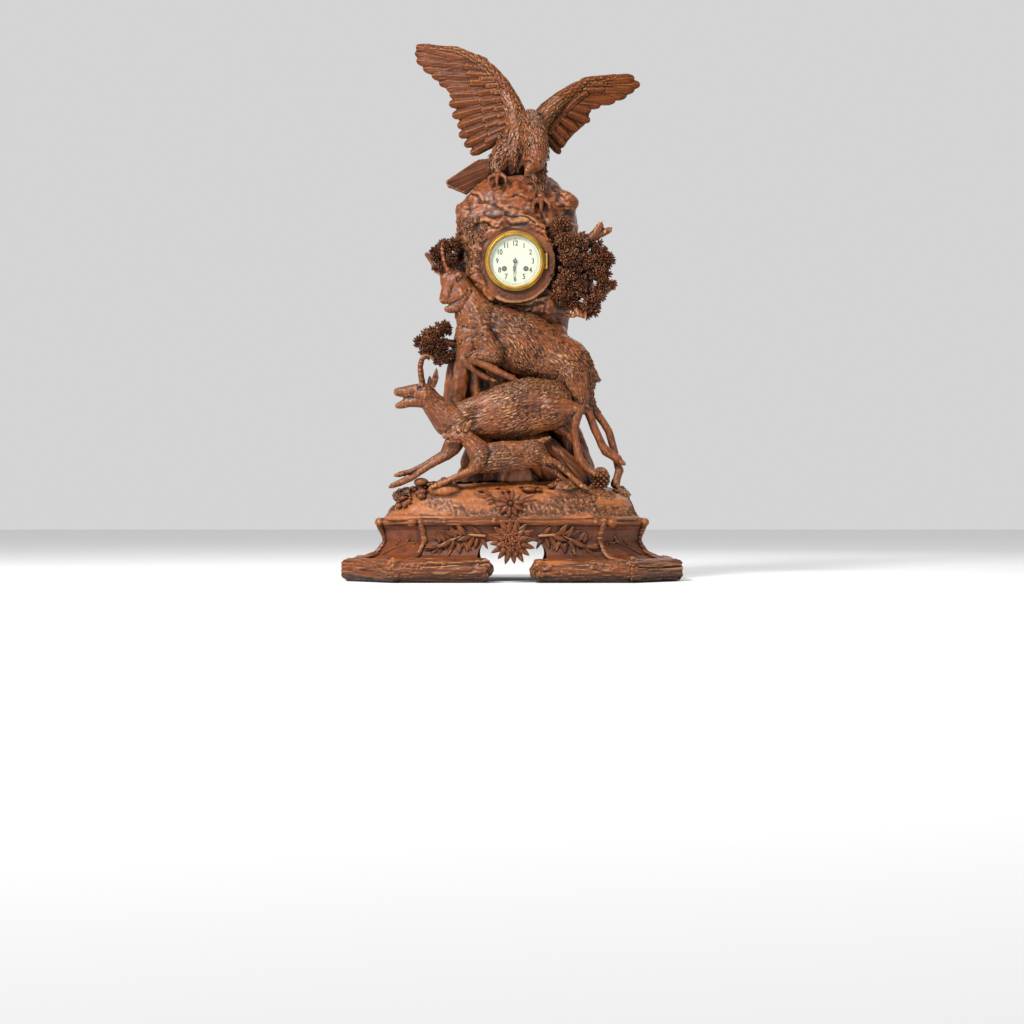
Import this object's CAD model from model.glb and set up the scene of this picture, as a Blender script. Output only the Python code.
import math
import random
import bpy
import bmesh
import numpy as np
from mathutils import Matrix, Vector


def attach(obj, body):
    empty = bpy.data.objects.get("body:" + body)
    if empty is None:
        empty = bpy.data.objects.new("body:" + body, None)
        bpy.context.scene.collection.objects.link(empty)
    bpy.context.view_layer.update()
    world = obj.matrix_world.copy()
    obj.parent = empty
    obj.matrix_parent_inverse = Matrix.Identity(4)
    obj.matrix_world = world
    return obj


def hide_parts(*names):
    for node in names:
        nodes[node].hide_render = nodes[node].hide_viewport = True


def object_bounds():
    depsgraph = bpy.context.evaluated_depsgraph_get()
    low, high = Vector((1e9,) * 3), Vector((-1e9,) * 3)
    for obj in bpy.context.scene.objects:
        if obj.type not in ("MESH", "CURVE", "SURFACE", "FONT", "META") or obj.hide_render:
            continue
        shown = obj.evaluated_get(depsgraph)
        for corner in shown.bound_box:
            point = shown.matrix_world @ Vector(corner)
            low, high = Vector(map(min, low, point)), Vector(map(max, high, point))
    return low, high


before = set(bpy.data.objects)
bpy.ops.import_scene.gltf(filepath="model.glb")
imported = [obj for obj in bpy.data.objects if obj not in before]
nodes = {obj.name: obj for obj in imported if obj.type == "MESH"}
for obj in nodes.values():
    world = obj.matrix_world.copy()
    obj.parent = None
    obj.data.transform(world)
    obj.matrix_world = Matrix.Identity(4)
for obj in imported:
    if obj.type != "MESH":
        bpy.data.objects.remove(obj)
cad_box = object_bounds()


# Plinth boards: coved front, sides, canted corners, flat top and back of solid walnut.
# They are mitred, stained red-brown and varnished, so the recesses stay dark and the edges rub pale.
def shader_node(tree, kind, options=None, **sockets):
    made = tree.nodes.new(kind)
    for key, value in (options or {}).items():
        setattr(made, key, value)
    for key, value in sockets.items():
        socket = made.inputs[key.replace("_", " ")]
        if isinstance(value, bpy.types.NodeSocket):
            tree.links.new(value, socket)
        else:
            socket.default_value = value
    return made


def tone_ramp(tree, factor, stops):
    made = shader_node(tree, "ShaderNodeValToRGB", Fac=factor)
    bar = made.color_ramp.elements
    while len(bar) < len(stops):
        bar.new(0.5)
    for stop, (place, colour) in zip(bar, stops):
        stop.position = place
        stop.color = (*colour, 1)
    return made.outputs["Color"]


def blend_tone(tree, factor, first, second, kind="MIX"):
    made = tree.nodes.new("ShaderNodeMixRGB")
    made.blend_type = kind
    for socket, value in zip(made.inputs, (factor, first, second)):
        if isinstance(value, bpy.types.NodeSocket):
            tree.links.new(value, socket)
        elif isinstance(value, tuple):
            socket.default_value = (*value, 1)
        else:
            socket.default_value = value
    return made.outputs["Color"]


def spread(tree, value, low, high, to_low=0.0, to_high=1.0):
    made = shader_node(tree, "ShaderNodeMapRange", {"clamp": True}, Value=value)
    for name, number in (("From Min", low), ("From Max", high), ("To Min", to_low), ("To Max", to_high)):
        made.inputs[name].default_value = number
    return made.outputs["Result"]


def carved_wood(name, deep, body, bright, grain=(1, 1, 0.13), figure=34, marks=(1, 1, 1), turn=(0, 0, 0),
                mark_scale=190, mark_depth=0.5, rough=(0.3, 0.52), recess=1.0, rub=0.65, bare=None,
                shine=0.3):
    made = bpy.data.materials.new(name)
    made.use_nodes = True
    tree = made.node_tree
    tree.nodes.clear()
    place = tree.nodes.new("ShaderNodeTexCoord").outputs["Object"]
    along = shader_node(tree, "ShaderNodeMapping", Vector=place, Scale=grain, Rotation=turn).outputs["Vector"]
    fibre = shader_node(tree, "ShaderNodeTexNoise", Vector=along, Scale=figure, Detail=7.0,
                        Roughness=0.62, Distortion=1.3).outputs["Fac"]
    body = (0.84 * body[0], 0.78 * body[1], 0.7 * body[2])
    dim = tuple(0.42 * c for c in body)
    warm = (1.45 * body[0], 1.5 * body[1], 1.4 * body[2])
    colour = tone_ramp(tree, fibre, [(0.3, dim), (0.5, body), (0.7, warm)])
    cloud = shader_node(tree, "ShaderNodeTexNoise", Vector=place, Scale=8.0, Detail=4.0).outputs["Fac"]
    stained = (body[0] * 0.36, body[1] * 0.33, body[2] * 0.36)
    colour = blend_tone(tree, spread(tree, cloud, 0.5, 0.68, 0.0, 0.72), colour, stained)
    glow = shader_node(tree, "ShaderNodeTexNoise", Vector=place, Scale=15.0, Detail=3.0).outputs["Fac"]
    golden = (body[0] * 1.5, body[1] * 1.75, body[2] * 1.25)
    colour = blend_tone(tree, spread(tree, glow, 0.5, 0.7, 0.0, 0.6), colour, golden)
    if bare:
        peeled = shader_node(tree, "ShaderNodeAttribute", {"attribute_name": "bare"}).outputs["Fac"]
        colour = blend_tone(tree, peeled, colour, tone_ramp(tree, fibre, [(0.35, bare[0]), (0.65, bare[1])]))
    hollow = shader_node(tree, "ShaderNodeAttribute", {"attribute_name": "hollow"}).outputs["Fac"]
    colour = blend_tone(tree, spread(tree, hollow, -0.1, -0.85, 0.0, rub), colour, bright)
    colour = blend_tone(tree, spread(tree, hollow, 0.0, 0.75, 0.0, 0.95 * recess), colour, deep)
    shut = shader_node(tree, "ShaderNodeAmbientOcclusion", {"samples": 6}, Distance=0.035).outputs["AO"]
    colour = blend_tone(tree, spread(tree, shut, 0.85, 0.28, 0.0, 0.93 * recess), colour, deep)
    speck = shader_node(tree, "ShaderNodeMapping", Vector=place, Scale=marks, Rotation=turn).outputs["Vector"]
    cuts = shader_node(tree, "ShaderNodeTexNoise", Vector=speck, Scale=mark_scale, Detail=4.0,
                       Roughness=0.6).outputs["Fac"]
    low = shader_node(tree, "ShaderNodeBump", Strength=0.35, Distance=0.0012, Height=fibre).outputs["Normal"]
    fine = shader_node(tree, "ShaderNodeBump", Strength=mark_depth, Distance=0.0016, Height=cuts,
                       Normal=low).outputs["Normal"]
    skin_rough = spread(tree, cuts, 0.3, 0.7, rough[0], rough[1])
    shader = shader_node(tree, "ShaderNodeBsdfPrincipled", Base_Color=colour, Roughness=skin_rough,
                         Normal=fine)
    shader.inputs["Coat Weight"].default_value = 0.17 * shine
    shader.inputs["Coat Roughness"].default_value = 0.22
    shader.inputs["Specular IOR Level"].default_value = shine
    output = tree.nodes.new("ShaderNodeOutputMaterial")
    tree.links.new(shader.outputs["BSDF"], output.inputs["Surface"])
    return made


DEEP = (0.008, 0.0022, 0.0009)
board_wood = carved_wood("board_walnut", DEEP, (0.17, 0.042, 0.0095), (0.42, 0.17, 0.055), grain=(0.14, 1, 1))
flat_wood = carved_wood("back_walnut", DEEP, (0.12, 0.036, 0.011), (0.24, 0.09, 0.035), grain=(0.12, 1, 1),
                        mark_depth=0.15, rough=(0.45, 0.62))


def dress(node, material):
    piece = nodes[node]
    piece.data.materials.clear()
    piece.data.materials.append(material)


for node in ("plinth_front", "plinth_side_left", "plinth_side_right", "plinth_corner_left",
             "plinth_corner_right", "plinth_top_board"):
    dress(node, board_wood)
dress("plinth_back", flat_wood)


# Base logs: bark-covered branches cut flat underneath, with knobs at the arch and old splits.
# Carved from the solid with a gouge, dark in the bark furrows and orange where the bark is off.
def point(x, y, z):
    return Vector((x / 1000, y / 1000, z / 1000))


def add_ball(bm, x, y, z, r, flat=1.0, deep=1.0):
    size = Matrix.Diagonal((r / 1000, flat * r / 1000, deep * r / 1000, 1))
    bmesh.ops.create_uvsphere(bm, u_segments=20, v_segments=12, radius=1,
                              matrix=Matrix.Translation(point(x, y, z)) @ size)


def join_in(bm, part):
    scrap = bpy.data.meshes.new("scrap")
    part.to_mesh(scrap)
    part.free()
    bm.from_mesh(scrap)
    bpy.data.meshes.remove(scrap)


def add_limb(bm, balls, flat=1.0, facets=14):
    for pair in zip(balls, balls[1:]):
        part = bmesh.new()
        for x, y, z, r in pair:
            size = Matrix.Diagonal((r / 1000, flat * r / 1000, r / 1000, 1))
            bmesh.ops.create_uvsphere(part, u_segments=facets, v_segments=facets * 2 // 3, radius=1,
                                      matrix=Matrix.Translation(point(x, y, z)) @ size)
        bmesh.ops.delete(part, geom=part.edges[:], context="EDGES_FACES")
        hull = bmesh.ops.convex_hull(part, input=part.verts[:])
        loose = {v for v in hull["geom_interior"] + hull["geom_unused"] if isinstance(v, bmesh.types.BMVert)}
        bmesh.ops.delete(part, geom=list(loose), context="VERTS")
        join_in(bm, part)


def add_node(bm, node):
    part = bmesh.new()
    part.from_mesh(nodes[node].data)
    bmesh.ops.remove_doubles(part, verts=part.verts, dist=1e-6)
    join_in(bm, part)


def new_piece(name, bm):
    mesh = bpy.data.meshes.new(name)
    bm.to_mesh(mesh)
    bm.free()
    piece = bpy.data.objects.new(name, mesh)
    bpy.context.scene.collection.objects.link(piece)
    return piece


def settle(piece):
    seen = piece.evaluated_get(bpy.context.evaluated_depsgraph_get())
    baked = bpy.data.meshes.new_from_object(seen)
    piece.modifiers.clear()
    piece.data = baked
    piece.data.polygons.foreach_set("use_smooth", [True] * len(baked.polygons))
    return piece


def block_out(name, bm, voxel, soften):
    """Melt the rough shapes into one closed skin of so many millimetres a cell, and ease it."""
    piece = new_piece(name, bm)
    merge = piece.modifiers.new("merge", "REMESH")
    merge.mode = "VOXEL"
    merge.voxel_size = voxel / 1000
    ease = piece.modifiers.new("ease", "SMOOTH")
    ease.factor = 0.5
    ease.iterations = soften
    return settle(piece)


def lattice(p, seed):
    cell = np.floor(p).astype(np.int64)
    f = p - cell
    f = f * f * (3 - 2 * f)
    total = np.zeros(len(p))
    for dx in (0, 1):
        for dy in (0, 1):
            for dz in (0, 1):
                h = (cell[:, 0] + dx) * 73856093 ^ (cell[:, 1] + dy) * 19349663 ^ (cell[:, 2] + dz) * 83492791
                h = ((h ^ (seed * 7919 + 104729)) & 0xFFFFFFF) * 48271 & 0x7FFFFFFF
                h = ((h ^ (h >> 11)) * 69621) & 0x7FFFFFFF
                value = (h >> 8) % 4096 / 2048.0 - 1
                weight = (f[:, 0] if dx else 1 - f[:, 0]) * (f[:, 1] if dy else 1 - f[:, 1]) * (
                    f[:, 2] if dz else 1 - f[:, 2])
                total += value * weight
    return total


def rough_noise(p, size, seed=0, octaves=3):
    q = p / (np.array(size, float) / 1000)
    total = np.zeros(len(p))
    for k in range(octaves):
        total += lattice(q * 2 ** k + 17.3 * k, seed + k) * 0.5 ** k
    return total / 1.6


class Skin:
    """The vertices of a piece, read once and written back after the gouge work."""

    def __init__(self, piece):
        self.piece = piece
        self.count = len(piece.data.vertices)
        self.read()
        ends = np.empty(len(piece.data.edges) * 2, np.int64)
        piece.data.edges.foreach_get("vertices", ends)
        self.ends = ends.reshape(-1, 2)
        self.degree = np.bincount(self.ends.ravel(), minlength=self.count).clip(1)

    def read(self):
        mesh = self.piece.data
        self.at = np.empty(self.count * 3)
        mesh.vertices.foreach_get("co", self.at)
        self.at = self.at.reshape(-1, 3)
        self.out = np.empty(self.count * 3)
        mesh.vertex_normals.foreach_get("vector", self.out)
        self.out = self.out.reshape(-1, 3)

    def push(self, amount):
        """Move the surface along its normals by so many millimetres."""
        self.at = self.at + self.out * (amount / 1000)[:, None]
        self.at = np.clip(self.at, np.array(cad_box[0]), np.array(cad_box[1]))
        self.piece.data.vertices.foreach_set("co", self.at.ravel())
        self.piece.data.update()
        self.read()

    def relax(self, p):
        a, b = self.ends[:, 0], self.ends[:, 1]
        return np.stack([(np.bincount(a, p[b, k], self.count) + np.bincount(b, p[a, k], self.count))
                         / self.degree for k in range(p.shape[1])], 1)

    def store(self, name, values):
        mesh = self.piece.data
        layer = mesh.attributes.get(name) or mesh.attributes.new(name, "FLOAT", "POINT")
        layer.data.foreach_set("value", np.asarray(values, np.float32))

    def mark_hollows(self, near=2, far=16):
        """Positive in recesses and negative on ridges, for stain and rubbed edges."""
        p = self.at.copy()
        for k in range(far):
            p = self.relax(p)
            if k == near - 1:
                close = ((p - self.at) * self.out).sum(1)
        wide = ((p - self.at) * self.out).sum(1)
        mean = close[:, None].copy()
        for k in range(far):
            mean = self.relax(mean)
        close = close - 0.8 * mean[:, 0]
        close /= max(np.percentile(np.abs(close), 92), 1e-7)
        wide /= max(np.percentile(np.abs(wide), 92), 1e-7)
        self.store("hollow", np.clip(0.6 * close + 0.55 * np.maximum(wide, 0), -1, 1))


def span(values, low, high):
    t = np.clip((values - low) / (high - low), 0, 1)
    return t * t * (3 - 2 * t)


def line_gap(p, a, b):
    """Distance in millimetres from each point to the segment a-b, and the share along it."""
    a, b = np.array(a, float) / 1000, np.array(b, float) / 1000
    d = b - a
    t = np.clip(((p - a) @ d) / (d @ d), 0, 1)
    return np.linalg.norm(p - (a + t[:, None] * d), axis=1) * 1000, t


def finish_piece(piece, material, slot, body="case", *replaced, flat=False):
    """Give the piece its material, its body, the CAD nodes that it replaces, and its slot."""
    if not flat:
        piece.data.polygons.foreach_set("use_smooth", [True] * len(piece.data.polygons))
    piece.data.materials.append(material)
    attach(piece, body)
    if replaced:
        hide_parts(*replaced)
    return piece


bark_wood = carved_wood("bark_walnut", DEEP, (0.17, 0.045, 0.0105), (0.56, 0.26, 0.09), grain=(0.3, 1, 1),
                        mark_scale=260, mark_depth=0.7, rough=(0.3, 0.55),
                        bare=((0.3, 0.08, 0.017), (0.46, 0.15, 0.035)))

log_knobs = {
    "base_log_front_left": [
        (-58, -190, 40, 13), (-62, -193, 17, 12), (-76, -196, 44, 9), (-55, -172, 30, 17),
        (-258, -196, 42, 9.5), (-270, -193, 36, 10), (-262, -197, 27, 9), (-272, -191, 17, 10),
        (-256, -197, 13, 9), (-264, -182, 47, 12), (-150, -196, 38, 9)],
    "base_log_front_right": [
        (57, -192, 42, 13), (64, -194, 20, 13), (84, -197, 36, 9), (55, -172, 26, 18),
        (258, -196, 40, 9.5), (270, -193, 30, 10), (262, -197, 20, 9), (272, -191, 42, 10),
        (256, -197, 30, 9), (264, -182, 47, 12), (130, -197, 30, 9)],
}
log_turn = {"base_logs_side": 90, "base_logs_corner": 42}
for number, node in enumerate(("base_log_front_left", "base_log_front_right", "base_logs_corner",
                               "base_logs_side")):
    bm = bmesh.new()
    add_node(bm, node)
    for knob in log_knobs.get(node, ()):
        add_ball(bm, *knob)
    log = block_out(node + "_bark", bm, 2.6, 3)
    skin = Skin(log)
    p = skin.at
    turn = log_turn.get(node, 0) * math.pi / 180
    side = np.sign(p[:, 0])
    length = np.abs(p[:, 0]) * math.cos(turn) + p[:, 1] * math.sin(turn)
    across = -np.abs(p[:, 0]) * math.sin(turn) + p[:, 1] * math.cos(turn)
    q = np.stack([length, across, p[:, 2] + 0.5 * side], 1)
    foot = span(p[:, 2] * 1000, 0.5, 4)
    furrow = 1 - np.abs(rough_noise(q, (54, 9, 9), 31 + number, 3)) * 2.4
    lumps = rough_noise(q, (70, 34, 34), 5 + number, 2)
    bare = span(rough_noise(q, (95, 26, 24), 77 + number, 2), 0.16, 0.34)
    split = span(1 - np.abs(rough_noise(q, (170, 26, 26), 50 + number, 1)) * 9, 0.1, 1.0) * span(
        rough_noise(q, (120, 60, 60), 91 + number, 1), -0.1, 0.2)
    beads = np.clip(lattice(q / 0.0045, 120 + number), -0.4, 1) * span(
        rough_noise(q, (60, 20, 20), 140 + number, 1), -0.1, 0.2)
    skin.push(foot * (1.1 * beads * (1 - bare) + 2.6 * lumps
                      - 2.9 * np.clip(furrow, 0, 1) * (1 - 0.75 * bare) - 1.4 * bare - 5.5 * split))
    skin.store("bare", bare * (1 - 0.8 * split))
    skin.mark_hollows()
    finish_piece(log, bark_wood, "carved_walnut", "case", node)


# Twig moulding round the top board and the twigs down the corners: peeled branches with small knots,
# let into the edge of the board. Polished a little brighter than the boards.
twig_wood = carved_wood("twig_walnut", DEEP, (0.2, 0.052, 0.012), (0.5, 0.22, 0.075), grain=(0.2, 1, 1),
                        mark_scale=240, mark_depth=0.55, rough=(0.22, 0.42))
rise = (45, 52, 60, 89, 115, 124)
near_arris = ((223, 220, 208, 194, 198, 202), (-168, -165, -156, -145, -148, -151))
far_arris = ((325, 321, 307, 288, 294, 299), (-68, -66, -61, -54, -56, -58))


def on_panel(side, across, z, r):
    """A point on the canted board, a share of the way from its front edge to its outer edge."""
    x, y = [float((1 - across) * np.interp(z, rise, near_arris[k])
                  + across * np.interp(z, rise, far_arris[k])) for k in (0, 1)]
    return side * x, y, z, r


corner_runs = []
for side in (-1, 1):
    for across, foot in ((0, (side * 229, -171, 44, 10)), (1, (side * 340, -74, 47, 9))):
        corner_runs.append([on_panel(side, across, z, r) for z, r in (
            (127, 9), (118, 8), (106, 7), (90, 6.6), (74, 7), (62, 8))] + [foot])
    for run in (((0.86, 60, 3), (0.66, 76, 3.4), (0.42, 86, 3), (0.2, 88, 2.6), (0.1, 84, 1.6)),
                ((0.5, 82, 2.6), (0.34, 98, 2.2), (0.4, 106, 1.4)),
                ((0.7, 74, 2.4), (0.6, 94, 2.2), (0.72, 104, 1.4)), ((0.3, 88, 2.2), (0.16, 76, 1.4))):
        corner_runs.append([on_panel(side, across, z, r) for across, z, r in run])
for node, voxel, knots in (
        ("top_twig_border", 2.4, [
            (-222, -160, 132, 11.5), (222, -160, 132, 11.5), (-150, -152, 134, 9.5), (95, -152, 132, 9),
            (-40, -153, 135, 9), (185, -153, 134, 9.5), (-300, -70, 133, 11), (300, -70, 133, 11)]),
        ("corner_twigs", 2.0, [])):
    bm = bmesh.new()
    if node == "corner_twigs":
        for run in corner_runs:
            add_limb(bm, run, facets=12)
    else:
        add_node(bm, node)
    for x, y, z, r in knots:
        add_ball(bm, x, y, z, r)
    twig = block_out(node + "_bark", bm, voxel, 4)
    skin = Skin(twig)
    wave = rough_noise(skin.at, (46, 30, 24), 12, 2)
    line = 1 - np.abs(rough_noise(skin.at, (60, 60, 9), 18, 2)) * 2.6
    skin.push(1.7 * wave - 1.0 * np.clip(line, 0, 1))
    skin.mark_hollows()
    finish_piece(twig, twig_wood, "carved_walnut", "case", node)


# Leaf sprays on the front board: pointed leaves with a raised midrib on thin stems, glued on in relief.
# Each leaf is one small crowned blade with a sharp rim.
leaf_wood = carved_wood("leaf_walnut", DEEP, (0.2, 0.052, 0.012), (0.5, 0.22, 0.075), grain=(1, 1, 1),
                        mark_scale=300, mark_depth=0.3, rough=(0.24, 0.45), recess=0.9)


def add_leaf(bm, x, y, z, angle, length, width, depth, tilt=0.0, crown=0.18):
    """Blade that starts at x, z and points at an angle in the front plane, with its back at y."""
    part = bmesh.new()
    bmesh.ops.create_grid(part, x_segments=8, y_segments=4, size=1)
    for v in part.verts:
        u = (v.co.x + 1) / 2
        s = v.co.y
        half = width / 2 * math.sin(math.pi * min(0.999, u ** 0.85)) ** 0.75 + 0.25
        rib = 0.28 * crown * width * (1 - min(1, abs(s) * 2.2))
        bow = crown * width * (1 - s * s) * math.sin(math.pi * (0.1 + 0.8 * u))
        v.co = Vector((u * length, s * half, depth * 0.55 + bow + rib + tilt * u * length))
    rim = [e for e in part.edges if e.is_boundary]
    skirt = bmesh.ops.extrude_edge_only(part, edges=rim)["geom"]
    for v in skirt:
        if isinstance(v, bmesh.types.BMVert):
            v.co.z = 0 if tilt == 0 else v.co.z - depth * 0.5
    bmesh.ops.recalc_face_normals(part, faces=part.faces)
    place = Matrix.Translation(point(x, y, z)) @ Matrix.Rotation(math.pi / 2, 4, "X") @ Matrix.Rotation(
        math.radians(angle), 4, "Z") @ Matrix.Scale(0.001, 4)
    bmesh.ops.transform(part, matrix=place, verts=part.verts)
    bmesh.ops.contextual_create(part, geom=[e for e in part.edges if e.is_boundary])
    join_in(bm, part)


spray_leaves = [(61, 105, 7, 34, 15), (82, 108, -62, 38, 16), (96, 107, 9, 36, 16), (98, 100, -104, 32, 15),
                (116, 101, 21, 34, 15), (128, 96, -70, 35, 16), (140, 91, 13, 33, 15),
                (150, 86, -112, 31, 14), (158, 83, -46, 31, 15), (153, 89, 31, 27, 13),
                (165, 78, -14, 25, 13), (112, 92, -136, 26, 13), (70, 104, -118, 28, 12),
                (134, 92, -150, 26, 12), (108, 106, 58, 16, 10), (72, 108, 48, 14, 9)]
for side, node in ((-1, "leaf_spray_left"), (1, "leaf_spray_right")):
    bm = bmesh.new()
    for k, (x, z, angle, length, width) in enumerate(spray_leaves):
        back = -(205 - 50 * float(np.interp(z, (47, 60, 89, 115, 124), (0.75, 0.98, 1.21, 1.14, 1.08)))) + 3
        for more, (dx, dz, twist, share) in enumerate(((0, 0, 0, 1.25), (6, -4, 42, 0.95))):
            lean = angle + twist
            add_leaf(bm, side * (x + dx), back - 3 * (k % 3) - 2 * more, z + dz,
                     lean if side > 0 else 180 - lean,
                     length * share, width * 0.72, 8, tilt=0.1 * more, crown=0.14)
    for run in ([(59, -153, 103, 3.2), (104, -151, 106, 3), (140, -150, 92, 2.8), (172, -153, 76, 2.4)],
                [(98, -152, 105, 2.4), (104, -150, 86, 2.2), (98, -154, 70, 2)],
                [(140, -151, 92, 2.2), (134, -151, 76, 2), (140, -158, 62, 1.8)]):
        add_limb(bm, [(side * x, y, z, r) for x, y, z, r in run], facets=8)
    spray = new_piece(node + "_leaves", bm)
    skin = Skin(spray)
    skin.mark_hollows(1, 3)
    finish_piece(spray, leaf_wood, "carved_walnut", "case", node)


# Hanging flower in the arch: seven little florets in a double ring of long pointed leaves,
# on a stalk through the front board.
bm = bmesh.new()
for k in range(16):
    angle = 22.5 * k + 6
    add_leaf(bm, 9 * math.cos(math.radians(angle)), -178, 91 + 9 * math.sin(math.radians(angle)), angle,
             41 + 3 * (k % 2), 14, 4, tilt=0.04, crown=0.12)
for k in range(12):
    angle = 30 * k + 15
    add_leaf(bm, 8 * math.cos(math.radians(angle)), -184, 91 + 8 * math.sin(math.radians(angle)), angle,
             29, 12, 4, tilt=0.1, crown=0.14)
for k in range(7):
    cx = 0 if k == 6 else 15 * math.cos(math.radians(60 * k + 20))
    cz = 91 if k == 6 else 91 + 15 * math.sin(math.radians(60 * k + 20))
    cy = -197 if k == 6 else -192
    for j in range(5):
        a = math.radians(72 * j + 25 * k)
        add_ball(bm, cx + 5.2 * math.cos(a), cy, cz + 5.2 * math.sin(a), 3.9, 0.8)
    add_ball(bm, cx, cy - 2, cz, 2.8)
add_limb(bm, [(0, -183, 95, 11), (0, -140, 104, 10), (0, -102, 111, 8)], facets=12)
flower = new_piece("centre_flower_carving", bm)
Skin(flower).mark_hollows(1, 3)
finish_piece(flower, leaf_wood, "carved_walnut", "case", "centre_flower")


# Mound: the rocky ground, one thick block worked over with a round gouge and a punch,
# with polished patches of bare earth, grass clumps and small stones.
ground_wood = carved_wood("ground_walnut", DEEP, (0.2, 0.06, 0.017), (0.62, 0.33, 0.14), grain=(0.5, 0.5, 1),
                          figure=22, mark_scale=330, mark_depth=0.95, rough=(0.32, 0.54), recess=0.7,
                          rub=0.42, bare=((0.25, 0.066, 0.015), (0.38, 0.12, 0.03)))
bm = bmesh.new()
add_node(bm, "mound")
for x, y, z, r, f in ((-150, -100, 205, 40, 1.0), (120, -95, 212, 36, 1.0), (-232, -40, 190, 42, 1.0),
                      (236, -20, 196, 36, 1.0), (190, 120, 190, 40, 1.0), (-170, 110, 190, 44, 1.0)):
    add_ball(bm, x, y, z, r, f, 0.5)
floor_line = min(v.co.z for v in nodes["mound"].data.vertices)
rim = sorted({(round(v.co.x * 1000), round(v.co.y * 1000))
              for v in nodes["mound"].data.vertices if v.co.z < floor_line + 0.0005},
             key=lambda q: math.atan2(q[1], q[0]))
for (x0, y0), (x1, y1) in zip(rim, rim[1:] + rim[:1]):
    add_limb(bm, [(0.985 * x0, 0.985 * y0, floor_line * 1000 - 1, 6),
                  (0.985 * x1, 0.985 * y1, floor_line * 1000 - 1, 6)], facets=8)
ground = block_out("mound_ground", bm, 2.7, 4)
skin = Skin(ground)
p = skin.at
level = span(p[:, 2] * 1000, 143.5, 150)
swell = rough_noise(p, (120, 90, 60), 3, 2)
bare = span(rough_noise(p, (70, 60, 34), 41, 2), 0.04, 0.2)
gouge = rough_noise(p, (14, 14, 9), 9, 3)
pit = rough_noise(p, (6.5, 6.5, 6.5), 10, 1)
blades = rough_noise(np.stack([p[:, 0] + 0.5 * p[:, 2], p[:, 1], p[:, 2]], 1), (5, 8, 15), 11, 2)
skin.push(level * (6 * swell + (1 - 0.65 * bare) * (1.7 * gouge + 0.7 * pit + 1.3 * blades)
                   + 2 * rough_noise(p, (32, 32, 20), 13, 2)))
skin.store("bare", bare)
skin.mark_hollows()
finish_piece(ground, ground_wood, "carved_walnut", "case", "mound")
grass_skin = skin
grass_share = level * (1 - bare) * np.clip(rough_noise(p, (34, 34, 34), 14, 2) + 0.1, 0, 1) * span(
    -p[:, 1] * 1000, -60, 60)


# Stones: a heap of rounded pebbles at the left, two mushrooms, and flat stones on the ground.
# Each is a turned or whittled bead of walnut, glued where it touches the mound.
stone_wood = carved_wood("stone_walnut", DEEP, (0.2, 0.058, 0.016), (0.5, 0.24, 0.09), mark_scale=160,
                         mark_depth=0.4)
ground_heights = skin.at


def ground_at(x, y):
    near = np.hypot(ground_heights[:, 0] * 1000 - x, ground_heights[:, 1] * 1000 - y) < 7
    return 1000 * ground_heights[near, 2].max() if near.any() else 150


bm = bmesh.new()
chance = random.Random(4)
for k in range(64):
    x = -262 + 118 * chance.random() ** 0.9
    y = -128 + 60 * chance.random() - 0.1 * (x + 200)
    r = 3.5 + 7 * chance.random() ** 1.5
    z = ground_at(x, y)
    if z > 165:
        add_ball(bm, x, y, z + 0.2 * r, r, 0.9, 0.72)
for x, y, r, f in ((-14, -133, 11, 0.5), (38, -128, 17, 0.45), (60, -131, 8, 0.5), (88, -122, 9, 0.6),
                   (104, -118, 6, 0.6), (54, -118, 6, 0.6), (-70, -128, 7, 0.6), (236, -60, 9, 0.6),
                   (250, -20, 8, 0.6), (160, -110, 7, 0.6), (20, -118, 5, 0.6), (-32, -120, 5, 0.7)):
    add_ball(bm, x, y, ground_at(x, y), r, 0.8, f)
for x, y, r in ((-204, -96, 17), (-153, -84, 8)):
    z = ground_at(x, y)
    add_limb(bm, [(x, y, z - 2, 0.45 * r), (x, y, z + 0.8 * r, 0.4 * r)], facets=12)
    add_ball(bm, x, y, z + 0.9 * r, r, 1, 0.62)
stones = new_piece("pebbles_heap", bm)
finish_piece(stones, stone_wood, "dark_foliage", "case", "pebbles")


# Ten-petal flower laid on the front of the mound, with a twig and narrow leaves beside it.
# Carved from thin stock like the sprays, and glued on.
bm = bmesh.new()
for k in range(10):
    angle = 36 * k + 8
    a = math.radians(angle)
    add_leaf(bm, -3 + 5 * math.cos(a), -152, 175 + 5 * math.sin(a), angle, 27, 11.5, 5, tilt=0.03, crown=0.2)
add_ball(bm, -3, -158, 175, 5, 0.8)
add_limb(bm, [(-14, -152, 182, 2.4), (-44, -146, 192, 2.2), (-74, -142, 196, 1.8)], facets=8)
add_leaf(bm, -44, -148, 193, 150, 26, 8, 4, tilt=0.04)
add_leaf(bm, -40, -148, 190, 205, 22, 7, 4, tilt=0.04)
add_leaf(bm, 24, -148, 186, 20, 30, 8, 4, tilt=0.04)
petals = new_piece("mound_flower_petals", bm)
Skin(petals).mark_hollows(1, 3)
finish_piece(petals, leaf_wood, "carved_walnut", "case", "mound_flower")


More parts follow.
